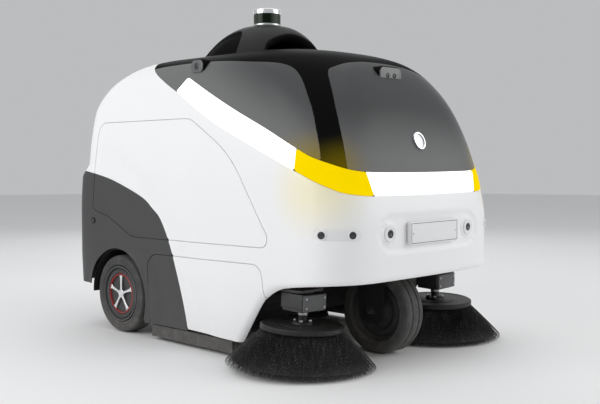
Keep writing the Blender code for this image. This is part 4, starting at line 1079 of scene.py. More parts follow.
    @staticmethod
    def clip(arrays: list[Array], value: Array, triangles: Array) -> tuple[Array, Array, Array, Array, Array]:
        """Keep the part of a triangle mesh where a value is positive.

        A triangle that the zero line crosses is cut where the value, linear along each edge, is zero.

        Args:
            arrays: per-vertex points, normals and outward directions.
            value: per-vertex value.
            triangles: (m, 3) vertex numbers.

        Returns:
            Points, normals, outward directions, triangles and the contour's edges.
        """
        inside = value > 0.0
        state = inside[triangles].sum(axis=1)
        whole, one, two = (triangles[state == k] for k in (3, 1, 2))

        def led_by(block: Array, lead: Array) -> Array:
            """Each triangle's corners turned until the given one comes first."""
            return block[np.arange(len(block))[:, None], (lead[:, None] + np.arange(3)) % 3]

        one, two = led_by(one, np.argmax(inside[one], axis=1)), led_by(two, np.argmin(inside[two], axis=1))
        pairs = np.concatenate([one[:, [0, 1]], one[:, [0, 2]], two[:, [0, 1]], two[:, [0, 2]]])
        edges, back = np.unique(np.sort(pairs, axis=1), axis=0, return_inverse=True)
        back = back.reshape(-1)
        a, b = edges[:, 0], edges[:, 1]
        t = (value[a] / (value[a] - value[b]))[:, None]
        arrays = [np.concatenate([block, block[a] * (1 - t) + block[b] * t]) for block in arrays]
        new = len(value) + back
        k, m = len(one), len(two)
        one_b, one_c, two_b, two_c = new[:k], new[k:2 * k], new[2 * k:2 * k + m], new[2 * k + m:]
        cut = [np.stack([one[:, 0], one_b, one_c], 1), np.stack([two_b, two[:, 1], two[:, 2]], 1),
               np.stack([two_b, two[:, 2], two_c], 1)]
        contour = np.concatenate([np.stack([one_b, one_c], 1), np.stack([two_c, two_b], 1)])
        kept = np.concatenate([whole, *cut])
        used, numbers = np.unique(kept, return_inverse=True)
        place_of = np.full(len(arrays[0]), -1)
        place_of[used] = np.arange(len(used))
        points, normals, outward = (block[used] for block in arrays)
        return points, normals, outward, numbers.reshape(-1, 3), place_of[contour]

    @staticmethod
    def close(name: str, points: Array, normals: Array, outward: Array, triangles: Array, contour: Array, rim: float,
              wall: float, body: str, replaced: Sequence[str]) -> bpy.types.Object:
        """Add the rounded rim, the wall and the inner face to a clipped surface, and make the piece."""
        loop = np.unique(contour)
        number = np.full(len(points), -1)
        number[loop] = np.arange(len(loop))
        edge = number[contour]
        out = normals[loop] / np.maximum(np.linalg.norm(normals[loop], axis=1, keepdims=True), 1e-9)
        side = outward[loop] - out * np.sum(outward[loop] * out, axis=1, keepdims=True)
        side /= np.maximum(np.linalg.norm(side, axis=1, keepdims=True), 1e-9)
        rings, shades = [points[loop]], [out]
        for angle in np.linspace(0.0, math.pi / 2, 4)[1:]:
            rings.append(points[loop] + side * rim * math.sin(angle) - out * rim * (1 - math.cos(angle)))
            shades.append(out * math.cos(angle) + side * math.sin(angle))
        rings.append(points[loop] + side * rim - out * wall)
        shades.append(side - out)
        blocks, normals_out, start = [points], [normals], len(points)
        numbers = [loop]
        for ring_points, shade in zip(rings[1:], shades[1:]):
            blocks.append(ring_points)
            normals_out.append(shade)
            numbers.append(start + np.arange(len(loop)))
            start += len(loop)
        back = np.arange(len(points)) + start
        blocks.append(points - normals * wall)
        normals_out.append(-normals)
        numbers.append(back[loop])
        quads = [np.stack([low[edge[:, 1]], low[edge[:, 0]], high[edge[:, 0]], high[edge[:, 1]]], 1)
                 for low, high in zip(numbers, numbers[1:])]
        faces = [triangles, back[triangles][:, ::-1], np.concatenate(quads)]
        return make_piece(name, np.concatenate(blocks), faces, body, replaced, np.concatenate(normals_out))


@dataclass
class Bodywork:
    """Outer panels: white shell, grey tail, four doors, canopy, glass and light band."""

    maker: PanelMaker = field(default_factory=PanelMaker)
    seam: float = 0.0011
    fine_seam: float = 0.0004
    flange_reach: float = 0.009
    light_rear: float = -0.518
    hopper: tuple[float, float, float] = (0.303, 0.202, 0.563)
    stop_button: tuple[float, float, float] = (0.365, 0.500, 0.0135)

    def side(self, outline: Outline, place: Array) -> Array:
        """Signed distance of an outline of the side view."""
        return outline.inside(place[..., 1], place[..., 2])

    def front(self, outline: Outline, place: Array) -> Array:
        """Signed distance of an outline of the front view, far outside behind the nose."""
        value = outline.inside(place[..., 0], place[..., 2])
        return np.where(place[..., 1] < -0.25, value, -0.3)

    def door(self, place: Array, lower: bool) -> Array:
        """Signed distance of a door, less half a seam."""
        outline = self.maker.lower if lower else self.maker.upper
        value = self.side(outline, place)
        if lower:
            value = np.minimum(value, self.side(self.maker.white_or_grey, place))
            value = np.minimum(value, place[..., 2] - 0.0575)
        return value - self.seam

    def not_doors(self, place: Array) -> Array:
        """Signed distance of everything that is no door, less half a seam."""
        flank = np.abs(place[..., 0]) > 0.25
        value = np.full(place.shape[:-1], 0.3)
        here = place[flank]
        value[flank] = -np.maximum(self.side(self.maker.upper, here), self.side(self.maker.lower, here))
        return value - self.seam

    def flange(self, place: Array, tone: str) -> Array:
        """Signed distance of the narrow flange that backs the doors' seams, in one of the two colours."""
        edge = np.minimum(np.abs(self.side(self.maker.upper, place)), np.abs(self.side(self.maker.lower, place)))
        region = self.maker.white if tone == "white" else self.maker.grey
        return np.minimum(self.flange_reach - edge, self.side(region, place) - 0.0004)

    def white_shell(self, place: Array) -> Array:
        """White panel: bumper, flanks, quarter panels and upper tail."""
        return np.minimum(self.side(self.maker.white, place) - self.fine_seam, self.not_doors(place))

    def grey_shell(self, place: Array) -> Array:
        """Grey tail, with the hopper's opening and the stop button's hole."""
        half, low, high = self.hopper
        x, y, z = place[..., 0], place[..., 1], place[..., 2]
        opening = np.minimum(half - np.abs(x), np.minimum(z - low, high - z))
        opening = np.where(y > 0.6, opening, -0.3)
        hole = np.where(y > 0.6, self.stop_button[2] - np.hypot(x - self.stop_button[0], z - self.stop_button[1]), -0.3)
        value = np.minimum(self.side(self.maker.grey, place) - self.fine_seam, self.not_doors(place))
        return np.minimum(value, -np.maximum(opening, hole) - self.fine_seam)

    def glass(self, place: Array) -> tuple[Array, Array]:
        """Signed distances of the windshield and of the side windows."""
        screen = self.front(self.maker.windshield, place)
        flank = np.abs(place[..., 0]) > 0.15
        window = np.full(place.shape[:-1], -0.3)
        window[flank] = self.side(self.maker.side_window, place[flank])
        return screen, np.minimum(window, -screen - 0.030)

    def canopy(self, place: Array) -> Array:
        """Gloss black frame that is left between the glasses."""
        screen, window = self.glass(place)
        return np.minimum(self.side(self.maker.canopy, place), -np.maximum(screen, window)) - self.fine_seam

    def inner_line(self, height: Array) -> Array:
        """Half width at which the front light bar ends, for each height."""
        return np.interp(height, [0.530, 0.556, 0.637, 0.660], [0.270, 0.276, 0.294, 0.294])

    def light(self, place: Array, kind: str) -> Array:
        """Signed distance of one stretch of the light band."""
        x, y, z = np.abs(place[..., 0]), place[..., 1], place[..., 2]
        middle = self.inner_line(z) - x
        cut = {"front": np.where(y < self.light_rear, middle, -0.3), "side": y - self.light_rear,
               "turn": np.minimum(-middle, self.light_rear - y)}[kind]
        return np.minimum(self.side(self.maker.band, place), cut) - self.fine_seam

    def build(self) -> None:
        """Cut and dress every panel."""
        maker = self.maker
        whole = (0.0, 2.0, 0.052, maker.crown)
        Look.SHELL.dress(maker.panel("shell_white", self.white_shell, whole, "machine", ["body_shell"], 0.0012,
                                     ring=True))
        Look.GREY.dress(maker.panel("shell_grey", self.grey_shell, (-0.62, 0.62, 0.052, 0.66), "machine",
                                    ["rear_lower_shell"], 0.0012, ring=False))
        Look.FRAME.dress(maker.panel("canopy_shell", self.canopy, (0.0, 2.0, 0.60, maker.crown), "machine",
                                     ["canopy_frame"], 0.001, ring=True))
        Look.GLASS.dress(maker.panel("windshield_glass", lambda p: np.minimum(
            self.glass(p)[0], self.side(maker.canopy, p)) - self.fine_seam, (0.60, 1.40, 0.60, 1.03), "machine",
            ["windshield"], 0.001))
        Look.WHITE_LIGHT.dress(maker.panel("light_front", lambda p: self.light(p, "front"), (0.60, 1.40, 0.52, 0.70),
                                           "machine", ["light_bar_front"], 0.0012, lift=0.0012))
        for side in Side:
            word, initial = side.word, side.word[0]
            flip = (lambda a, b: (a, b)) if side is Side.RIGHT else (lambda a, b: (2.0 - b, 2.0 - a))
            Look.GLASS.dress(maker.panel(f"side_glass_{word}", lambda p: np.minimum(
                self.glass(p)[1], self.side(maker.canopy, p)) - self.fine_seam, (*flip(0.16, 0.92), 0.60, 1.045),
                "machine", [f"side_window_{word}"], 0.001))
            Look.WHITE_LIGHT.dress(maker.panel(f"light_side_{word}", lambda p: self.light(p, "side"),
                                               (*flip(0.22, 0.92), 0.55, 1.0), "machine", [f"light_bar_{word}"],
                                               0.0012, lift=0.0012))
            Look.YELLOW_LIGHT.dress(maker.panel(f"light_turn_{word}", lambda p: self.light(p, "turn"),
                                                (*flip(0.60, 0.96), 0.52, 0.74), "machine", [f"turn_light_{word}"],
                                                0.0012, lift=0.0012))
            for level, lower in (("upper", False), ("lower", True)):
                for look, region, replaced in (
                        (Look.SHELL, maker.white, [f"{level}_door_{word}"]), (Look.GREY, maker.grey, ())):
                    tone = "white" if look is Look.SHELL else "grey"
                    look.dress(maker.panel(
                        f"{level}_door_{tone}_{word}",
                        lambda p, r=region, low=lower: np.minimum(self.door(p, low), self.side(r, p) - 0.0004),
                        (*flip(0.16, 0.86), 0.052, 0.84), f"{level}_door_{initial}", replaced, 0.0012))
            for look, tone in ((Look.SHELL, "white"), (Look.GREY, "grey")):
                look.dress(maker.panel(f"door_flange_{tone}_{word}", lambda p, t=tone: self.flange(p, t),
                                       (*flip(0.16, 0.86), 0.060, 0.84), "machine", (), 0.0004, wall=0.0012,
                                       lift=-0.0042))


def facing(points: Array, place: Array, normal: Array) -> Array:
    """Move points drawn about the z axis to a place, with z along the normal and y as near upright as it goes."""
    third = normal / np.linalg.norm(normal)
    first = np.cross([0.0, 0.0, 1.0], third)
    first = first / np.linalg.norm(first)
    return place + points @ np.stack([first, np.cross(third, first), third])


def disc(outer: float, inner: float, low: float, high: float, soft: float = 0.001) -> Array:
    """Profile of a ring or, with no inner radius, of a disc, with rounded outer corners."""
    return fillet([(inner, low, 0.0), (outer, low, soft), (outer, high, soft), (inner, high, 0.0)], 3)


# ---------------------------------------------------------------- roof
@dataclass
class Roof:
    """Lidar bridge with a front arch and side recesses, the lidar, the camera pods and the round badge."""

    maker: PanelMaker = field(default_factory=PanelMaker)
    foot: float = 1.030
    rise: float = 0.157
    middle: float = 0.094
    half: tuple[float, float, float] = (0.062, 0.155, 0.157)
    wall: float = 0.042
    lidar: tuple[float, float] = (0.0, 0.065)
    lidar_radius: float = 0.0535
    badge_height: float = 0.738
    pod: tuple[float, float, float, float] = (0.062, 0.926, 0.9935, -0.552)
    side_y: tuple[float, float] = (0.008, 0.082)
    side_z: tuple[float, float] = (0.982, 1.036)
    side_reach: tuple[float, float] = (0.290, 0.3695)
    side_eye: tuple[float, float] = (0.045, 1.009)

    def dome(self, share: float = 1.0) -> Array:
        """Grid of the bridge's outer surface: superellipse rings that shrink as they rise.

        At level t the rings' half sizes shrink with the root of 1 - t to the power 1.7, and their
        exponent falls from a rounded square to a circle.
        """
        level = np.linspace(-0.02, 1.0, 58)[:, None]
        angle = np.linspace(0, -math.tau, 180, endpoint=False)[None, :]
        angle = np.concatenate([angle[:, -1:], angle, angle[:, :1]], axis=1)
        spread = np.sqrt(np.maximum(1 - np.clip(level, 0, 1) ** 1.7, 0)) * 0.80 + 0.20 * (1 - level)
        power = 2.0 / (2.0 + 1.2 * spread)
        cosine, sine = np.cos(angle), np.sin(angle)
        top, side, front = self.half
        x = share * (top + side * spread) * np.sign(cosine) * np.abs(cosine) ** power
        y = share * (top + front * spread) * np.sign(sine) * np.abs(sine) ** power
        rise = self.rise - (1.0 - share) * 0.16
        middle = self.middle + (self.lidar[1] - self.middle) * level
        return np.stack(np.broadcast_arrays(x, middle + y, self.foot + rise * level), -1)

    def arches(self, place: Array) -> tuple[Array, Array]:
        """Signed distances of the front and rear arches, in the front view, and of the side recesses."""
        arch = Outline(spline([(-0.168, 0.985), (-0.160, 1.060), (-0.118, 1.118), (0.0, 1.150), (0.118, 1.118),
                               (0.160, 1.060), (0.168, 0.985)]))
        recess = Outline(spline([(0.018, 0.985), (0.022, 1.060), (0.034, 1.120), (0.062, 1.158), (0.105, 1.160),
                                 (0.175, 1.136), (0.232, 1.085), (0.255, 0.985)]))
        x, y, z = place[..., 0], place[..., 1] - self.middle, place[..., 2]
        front = np.where(np.abs(y) > np.abs(x) * 0.5, arch.inside(x, z), -0.2)
        side = np.where(np.abs(x) > 0.040, recess.inside(place[..., 1], z), -0.2)
        return front, np.minimum(side, np.abs(x) - 0.042)

    def bridge(self) -> None:
        """Thick outer shell with its arches, and the gloss panels set into its sides."""
        place = self.dome()
        front, side = self.arches(place)
        Look.BRIDGE.dress(self.maker.cut("bridge_shell", place, -np.maximum(front, side), True, "machine",
                                         ["roof_dome"], 0.004, self.wall))
        inner = self.dome(0.962)
        front, side = self.arches(inner)
        Look.BLACK.dress(self.maker.cut("bridge_recess", inner, np.minimum(side + 0.012, 0.004 - front), True,
                                        "machine", (), 0.001, 0.003))

    def lidar_unit(self) -> None:
        """Silver foot, green window, optics and silver cap."""
        r, centre = self.lidar_radius, (*self.lidar, 0.0)
        seat = fillet([(0.0, 1.170, 0), (0.0622, 1.170, 0), (0.0622, 1.1845, 0), (0.0560, 1.1878, 0.0015),
                       (0.0, 1.1878, 0)], 3)
        Look.BRIDGE.dress(Soup().add(*turned(seat, Axis.Z, centre, 96)).piece("bridge_seat", "machine"))
        foot = fillet([(0.0, 1.1795, 0), (r - 0.004, 1.1795, 0.001), (r - 0.004, 1.1905, 0.0), (r, 1.1905, 0.001),
                       (r, 1.1982, 0.0012), (0.0, 1.1982, 0)], 3)
        cap = fillet([(0.0, 1.2358, 0), (r, 1.2358, 0.0008), (r, 1.2550, 0.0045), (0.030, 1.2550, 0.0),
                      (0.028, 1.2543, 0.0), (0.0, 1.2543, 0)], 5)
        glass = fillet([(r - 0.003, 1.1985, 0), (r - 0.0004, 1.1985, 0), (r - 0.0004, 1.2355, 0),
                        (r - 0.003, 1.2355, 0)], 1)
        Look.STEEL.dress(Soup().add(*turned(foot, Axis.Z, centre, 96)).piece("lidar_foot", "machine", ["lidar_base"]))
        Look.BRIGHT.dress(Soup().add(*turned(cap, Axis.Z, centre, 96)).piece("lidar_lid", "machine", ["lidar_cap"]))
        Look.LIDAR_GLASS.dress(Soup().add(*turned(glass, Axis.Z, centre, 96)).piece("lidar_glass", "machine",
                                                                                    ["lidar_window"]))
        Look.SATIN_BLACK.dress_node("lidar_rotor")

    def front_pod(self) -> None:
        """Camera pod at the top of the front glass: black housing, grey face, two lenses."""
        body, face, lenses, rings = Soup(), Soup(), Soup(), Soup()
        half, low, high, front = self.pod
        outline = fillet([(low, -half, 0.024), (high, -half, 0.024), (high, half, 0.024), (low, half, 0.024)], 8)
        body.add(*slab(outline, front + 0.003, front + 0.130, 0.006, Axis.Y, 5))
        inset = moved_in(left_turning(outline), 0.0040)
        face.add(*slab(inset, front, front + 0.010, 0.002, Axis.Y))
        for x in (-0.018, 0.018):
            middle = (x, 0.0, (low + high) / 2 + 0.002)
            rings.add(*turned(disc(0.0088, 0.0050, front - 0.0016, front + 0.006), Axis.Y, middle, 32))
            lenses.add(*turned(fillet([(0.0, front - 0.0010, 0), (0.0052, front, 0), (0.0052, front + 0.006, 0),
                                       (0.0, front + 0.006, 0)], 1), Axis.Y, middle, 32))
        Look.BLACK.dress(body.piece("front_pod_body", "machine", ["camera_pod_front"]))
        Look.POD_FACE.dress(face.piece("front_pod_face", "machine"))
        Look.IRON.dress(rings.piece("front_pod_rings", "machine"))
        Look.LENS.dress(lenses.piece("front_pod_lenses", "machine"))

    def side_pod(self, side: Side) -> None:
        """Camera pod over a side glass: a black hood that looks outwards, with one lens."""
        sign = side.value
        (y0, y1), (z0, z1), (near, far) = self.side_y, self.side_z, self.side_reach
        outline = fillet([(y0, z0, 0.022), (y1, z0, 0.022), (y1, z1, 0.024), (y0, z1, 0.024)], 7)
        low, high = sorted((sign * near, sign * far))
        lens_low, lens_high = sorted((sign * (far - 0.0040), sign * (far + 0.0017)))
        inset = moved_in(left_turning(outline), 0.0045)
        face_low, face_high = sorted((sign * (far - 0.0095), sign * (far + 0.0009)))
        Look.POD_FACE.dress(Soup().add(*slab(inset, face_low, face_high, 0.002, Axis.X)).piece(
            f"side_pod_face_{side.word}", "machine"))
        Look.BLACK.dress(Soup().add(*slab(outline, low, high, 0.012, Axis.X, 6)).piece(
            f"side_pod_{side.word}", "machine", [f"camera_pod_{side.word}"]))
        middle = (0.0, *self.side_eye)
        Look.IRON.dress(Soup().add(*turned(disc(0.0125, 0.009, lens_low, lens_high), Axis.X, middle, 36)).piece(
            f"side_pod_ring_{side.word}", "machine"))
        Look.LENS.dress(Soup().add(*turned(disc(0.009, 0.0, lens_low, lens_high - 0.0005), Axis.X, middle, 36)).piece(
            f"side_pod_lens_{side.word}", "machine"))

    def badge(self) -> None:
        """Plain round badge: a raised ring round a dished disc, sheared to the slope of the glass."""
        ring = fillet([(0.0235, -0.0075, 0.0012), (0.029, -0.0075, 0.0012), (0.029, 0.002, 0), (0.0235, 0.002, 0)], 3)
        plate = fillet([(0.0, -0.0045, 0), (0.010, -0.0055, 0), (0.0232, -0.0035, 0), (0.0232, 0.002, 0),
                        (0.0, 0.002, 0)], 1)
        front = float(self.maker.spot(0.0, -0.67, self.badge_height)[0][1])
        for name, profile, look, nodes in (("badge_ring", ring, Look.BRIGHT, ["front_badge"]),
                                           ("badge_disc", plate, Look.STEEL, [])):
            points, faces = turned(profile, Axis.Y, (0.0, 0.0, 0.0), 72)
            points[:, 1] += front + points[:, 2] * 0.345
            points[:, 2] += self.badge_height
            look.dress(Soup().add(points, faces).piece(name, "machine", nodes))

    def build(self) -> None:
        """Make the bridge, the lidar, the pods and the badge."""
        self.bridge()
        self.lidar_unit()
        self.front_pod()
        self.badge()
        for side in Side:
            self.side_pod(side)


# ---------------------------------------------------------------- nose and flank fittings
@dataclass
class Fittings:
    """Number plate, distance sensors, sensor pills and the stop button."""

    maker: PanelMaker = field(default_factory=PanelMaker)
    plate: tuple[float, float, float, float] = (-0.130, 0.134, 0.398, 0.473)
    eye_radius: float = 0.027
    flank_eye: tuple[float, float, float] = (0.448, 0.606, 0.430)
    stop: tuple[float, float, float] = (0.365, 0.0, 0.500)

    def number_plate(self) -> None:
        """Blank white plate with a raised border and two screws."""
        x0, x1, z0, z1 = self.plate
        outline = fillet([(z0, x0, 0.008), (z1, x0, 0.008), (z1, x1, 0.008), (z0, x1, 0.008)], 6)
        Look.PLASTIC_WHITE.dress(Soup().add(*slab(outline, -0.7390, -0.7240, 0.0025, Axis.Y, 4)).piece(
            "plate_body", "machine", ["number_plate"]))
        outer = left_turning(outline)
        rim = band_between(moved_in(outer, 0.0045), moved_in(outer, 0.0060), -0.7394, -0.7380)
        Look.IRON.dress(rim.piece("plate_border", "machine"))
        screws = Soup()
        for x in (x0 + 0.014, x1 - 0.014):
            screws.add(*turned(fillet([(0.0, -0.7402, 0), (0.0042, -0.7398, 0.0006), (0.0042, -0.736, 0),
                                       (0.0, -0.736, 0)], 2), Axis.Y, (x, 0.0, (z0 + z1) / 2), 24))
        Look.STEEL.dress(screws.piece("plate_screws", "machine"))

    def eye_at(self, name: str, place: Array, normal: Array, radius: float, lens: float, high: float,
               replaced: Sequence[str] = ()) -> None:
        """A round sensor: a white dished cap, a dark ring and a lens, square to a surface normal."""
        land = radius - lens - 0.001
        cap = fillet([(lens + 0.001, -0.006, 0), (radius, -0.006, 0), (radius, high - 0.001, 0.12 * land),
                      (radius - 0.3 * land, high, 0.1 * land), (lens + 0.001 + 0.25 * land, high - 0.0006, 0.08 * land),
                      (lens + 0.001, high - 0.002, 0)], 3)
        ring = fillet([(lens - 0.0022, -0.006, 0), (lens + 0.0009, -0.006, 0), (lens + 0.0009, high - 0.0012, 0.0005),
                       (lens - 0.0022, high - 0.0018, 0.0004)], 2)
        glass = fillet([(0.0, -0.006, 0), (lens - 0.0023, -0.006, 0), (lens - 0.0023, high - 0.0026, 0),
                        (lens * 0.5, high - 0.0020, 0), (0.0, high - 0.0018, 0)], 1)
        for part, profile, look, nodes in (("cap", cap, Look.PLASTIC_WHITE, replaced), ("ring", ring, Look.IRON, ()),
                                           ("lens", glass, Look.LENS, ())):
            points, faces = turned(profile, Axis.Z, (0.0, 0.0, 0.0), 48)
            look.dress(Soup().add(facing(points, place, normal), faces).piece(f"{name}_{part}", "machine", nodes))

    def corner_pill(self, side: Side) -> None:
        """Raised pill on a front corner with two small sensors."""
        sign, word = side.value, side.word
        reach, front, level = self.maker.corner_eyes
        middle = np.array([reach * sign, front])
        along = np.array([0.7071 * sign, 0.7071])

        def region(place: Array) -> Array:
            """Signed distance of the pill, drawn along the corner's diagonal."""
            run = (place[..., :2] - middle) @ along
            value = 0.0165 - np.hypot(np.maximum(np.abs(run) - 0.048, 0.0), place[..., 2] - level)
            return np.where(place[..., 1] < -0.45, value, -0.1)

        span = (0.64, 0.94) if side is Side.RIGHT else (1.06, 1.36)
        fine = PanelMaker(cell=0.004)
        Look.PLASTIC_WHITE.dress(fine.panel(f"corner_pill_{word}", region, (*span, 0.415, 0.470), "machine",
                                            [f"sensor_pod_front_{word}"], 0.0022, 0.004, 0.0030))
        for index, run in enumerate((-0.047, 0.047)):
            x, y = middle + along * run
            place, normal = self.maker.spot(float(x), float(y), level)
            self.eye_at(f"corner_eye_{word}_{index}", place + normal * 0.002, normal, 0.0150, 0.0105, 0.0052)

    def build(self) -> None:
        """Make every fitting."""
        self.number_plate()
        for side in Side:
            sign, word = side.value, side.word
            place, normal = self.maker.spot(self.maker.nose_eye[0] * sign, -0.73, self.maker.nose_eye[1])
            self.eye_at(f"nose_eye_{word}", place, normal, self.eye_radius, 0.0125, 0.0045, [f"front_sensor_{word}"])
            self.corner_pill(side)
            place, normal = self.maker.spot(self.flank_eye[0] * sign, *self.flank_eye[1:])
            points, faces = turned(disc(0.0128, 0.0, -0.004, 0.0028, 0.0012), Axis.Z, (0, 0, 0), 40)
            Look.SATIN_BLACK.dress(Soup().add(facing(points, place, normal), faces).piece(
                f"flank_eye_{word}", "machine", [f"sensor_pod_rear_{word}"]))
            points, faces = turned(disc(0.0070, 0.0, 0.0, 0.0036, 0.0010), Axis.Z, (0, 0, 0), 32)
            Look.LENS.dress(Soup().add(facing(points, place, normal), faces).piece(f"flank_lens_{word}", "machine"))
        knob = fillet([(0.0, 0.695, 0), (0.0085, 0.695, 0), (0.0085, 0.727, 0), (0.0122, 0.729, 0.002),
                       (0.0122, 0.7395, 0.0035), (0.0, 0.7395, 0)], 4)
        Look.RED.dress(Soup().add(*turned(knob, Axis.Y, self.stop, 48)).piece("stop_knob", "estop", ["estop_button"]))
        collar = fillet([(0.0140, 0.730, 0), (0.0205, 0.730, 0), (0.0205, 0.7412, 0.001), (0.0140, 0.7412, 0.001)], 3)
        Look.COLLAR.dress(Soup().add(*turned(collar, Axis.Y, self.stop, 48)).piece("stop_collar", "machine"))


# ---------------------------------------------------------------- wheels
def tyre_profile(radius: float, bead: float, width: float, grooves: Sequence[float],
                 ribs: Sequence[tuple[float, float]]) -> Array:
    """Closed profile of a tyre, symmetric about its middle.

    Args:
        radius: outer radius.
        bead: inner radius.
        width: full width.
        grooves: places of the tread grooves right of the middle.
        ribs: radius and height of each raised ring on the wall, from the bead outwards.

    Returns:
        (n, 2) points of radius and place along the axle.
    """
    half = width / 2
    wall = [(bead, half - 0.012, 0.002), (bead + 0.006, half - 0.003, 0.003)]
    for ring, high in ribs:
        wall += [(ring - 0.0040, half - 0.003, 0.0006), (ring - 0.0026, half - 0.003 + high, 0.0008),
                 (ring + 0.0026, half - 0.003 + high, 0.0008), (ring + 0.0040, half - 0.003, 0.0006)]
    wall += [(radius - 0.016, half - 0.0015, 0.004), (radius - 0.0045, half - 0.006, 0.004),
             (radius, half - 0.016, 0.006)]
    tread = []
    for place in sorted(grooves, reverse=True):
        tread += [(radius, place + 0.0030, 0.0008), (radius - 0.006, place + 0.0016, 0.0006),
                  (radius - 0.006, place - 0.0016, 0.0006), (radius, place - 0.0030, 0.0008)]
    right = wall + tread
    return fillet(right + [(r, -along, soft) for r, along, soft in reversed(right)], 2)


@dataclass
class RearWheels:
    """Two drive wheels: ribbed tyre, stepped rim with teeth, red ring and five plain spokes."""

    centre: tuple[float, float, float] = (0.395, 0.445, 0.150)
    radius: float = 0.150
    bead: float = 0.108
    width: float = 0.088
    teeth: int = 84
    spokes: int = 5

    def rim_profile(self) -> Array:
        """Stepped rim: raised outer ring, dark channel, flat ring for the teeth, dish."""
        return fillet([(0.0, -0.030, 0), (self.bead - 0.0004, -0.034, 0.001), (self.bead - 0.0004, 0.0385, 0.0012),
                       (0.1035, 0.0395, 0.0012), (0.1005, 0.0300, 0.001), (0.0955, 0.0290, 0.001),
                       (0.0940, 0.0345, 0.0008), (0.0800, 0.0345, 0.0008), (0.0785, 0.0270, 0.0006),
                       (0.0, 0.0240, 0)], 3)

    def tooth_ring(self, sign: int) -> Soup:
        """Fine radial teeth on the flat ring."""
        angle = np.linspace(0, math.tau, self.teeth, endpoint=False)
        half = math.pi / self.teeth * 0.46
        corner = np.array([(r, a, h) for h in (0.0340, 0.0362) for r, a in
                           ((0.0815, -half), (0.0925, -half), (0.0925, half), (0.0815, half))])
        turn = angle[:, None] + corner[None, :, 1]
        radius = np.broadcast_to(corner[None, :, 0], turn.shape)
        points = np.stack([np.broadcast_to(corner[None, :, 2] * sign, turn.shape), radius * np.cos(turn),
                           radius * np.sin(turn)], -1).reshape(-1, 3)
        box = np.array([(0, 3, 2, 1), (4, 5, 6, 7), (0, 1, 5, 4), (1, 2, 6, 5), (2, 3, 7, 6), (3, 0, 4, 7)])
        faces = (np.arange(self.teeth)[:, None, None] * 8 + box[None]).reshape(-1, 4)
        return Soup().add(points, faces if sign > 0 else faces[:, ::-1])

    def spoke_star(self, sign: int) -> Soup:
        """Five tapered spokes that meet in a round hub, rims rounded."""
        soup = Soup()
        for k in range(self.spokes):
            angle = math.tau * (k + 0.25) / self.spokes
            arm = fillet([(0.004, -0.0075, 0.001), (0.030, -0.0045, 0.02), (0.062, -0.0062, 0.012),
                          (0.0715, -0.0115, 0.0025), (0.0715, 0.0115, 0.0025), (0.062, 0.0062, 0.012),
                          (0.030, 0.0045, 0.02), (0.004, 0.0075, 0.001)], 4)
            turn = np.array([[math.cos(angle), math.sin(angle)], [-math.sin(angle), math.cos(angle)]])
            low, high = sorted((sign * 0.0260, sign * 0.0355))
            soup.add(*slab(arm @ turn, low, high, 0.0018, Axis.X, 3))
        low, high = sorted((sign * 0.0265, sign * 0.0368))
        return soup.add(*turned(disc(0.0165, 0.0, low, high, 0.0022), Axis.X, (0.0, 0.0, 0.0), 48))

    def build(self) -> None:
        """Make both wheels."""
        tyre = tyre_profile(self.radius, self.bead, self.width, (0.0070, 0.0215), ((0.1195, 0.0022), (0.1288, 0.0014)))
        for side in Side:
            sign, word = side.value, side.word
            body = f"rear_wheel_{word}"
            centre = np.array([self.centre[0] * sign, *self.centre[1:]])
            mirrored = lambda profile: profile * (1, sign)
            Look.RUBBER.dress(Soup().add(*turned(tyre, Axis.X, centre, 112)).piece(f"drive_tyre_{word}", body,
                                                                                  [f"rear_tyre_{word}"]))
            Look.IRON.dress(Soup().add(*turned(mirrored(self.rim_profile()), Axis.X, centre, 96)).piece(
                f"drive_rim_{word}", body, [f"rear_rim_{word}"]))
            raised = disc(self.bead - 0.0012, 0.1030, 0.0375, 0.0402, 0.0010)
            Look.BRACKET.dress(Soup().add(*turned(mirrored(raised), Axis.X, centre, 96)).piece(
                f"drive_rim_ring_{word}", body))
            for name, soup, look, nodes in (
                    ("teeth", self.tooth_ring(sign), Look.BRACKET, ()),
                    ("spokes", self.spoke_star(sign), Look.BRIGHT, [f"hub_cap_{word}"])):
                soup.points = [points + centre for points in soup.points]
                look.dress(soup.piece(f"drive_{name}_{word}", body, nodes))
            red = disc(0.0778, 0.0742, 0.0262, 0.0352, 0.0012)
            Look.RED_TRIM.dress(Soup().add(*turned(mirrored(red), Axis.X, centre, 96)).piece(
                f"drive_red_ring_{word}", body))
            self.liner(side)
        Look.IRON.dress_node("rear_axle")

    def liner(self, side: Side) -> None:
        """Wheel housing inside the arch: an arc over the tyre and a cheek with a hole for the axle."""
        sign = side.value
        turn = np.radians(np.linspace(-2.0, 196.0, 60))
        ring = lambda r: np.stack([self.centre[1] + r * np.cos(turn), self.centre[2] + r * np.sin(turn)], 1)
        arc = np.concatenate([ring(0.1765), ring(0.1735)[::-1]])
        low, high = sorted((sign * 0.3365, sign * 0.4405))
        shell = Soup().add(*slab(arc, low, high, 0.0004, Axis.X, 1))
        cheek_low, cheek_high = sorted((sign * 0.3345, sign * 0.3370))
        cheek = np.concatenate([ring(0.1765), ring(0.054)[::-1]])
        shell.add(*slab(cheek, cheek_low, cheek_high, 0.0003, Axis.X, 1))
        Look.SATIN_BLACK.dress(shell.piece(f"wheel_liner_{side.word}", "machine"))


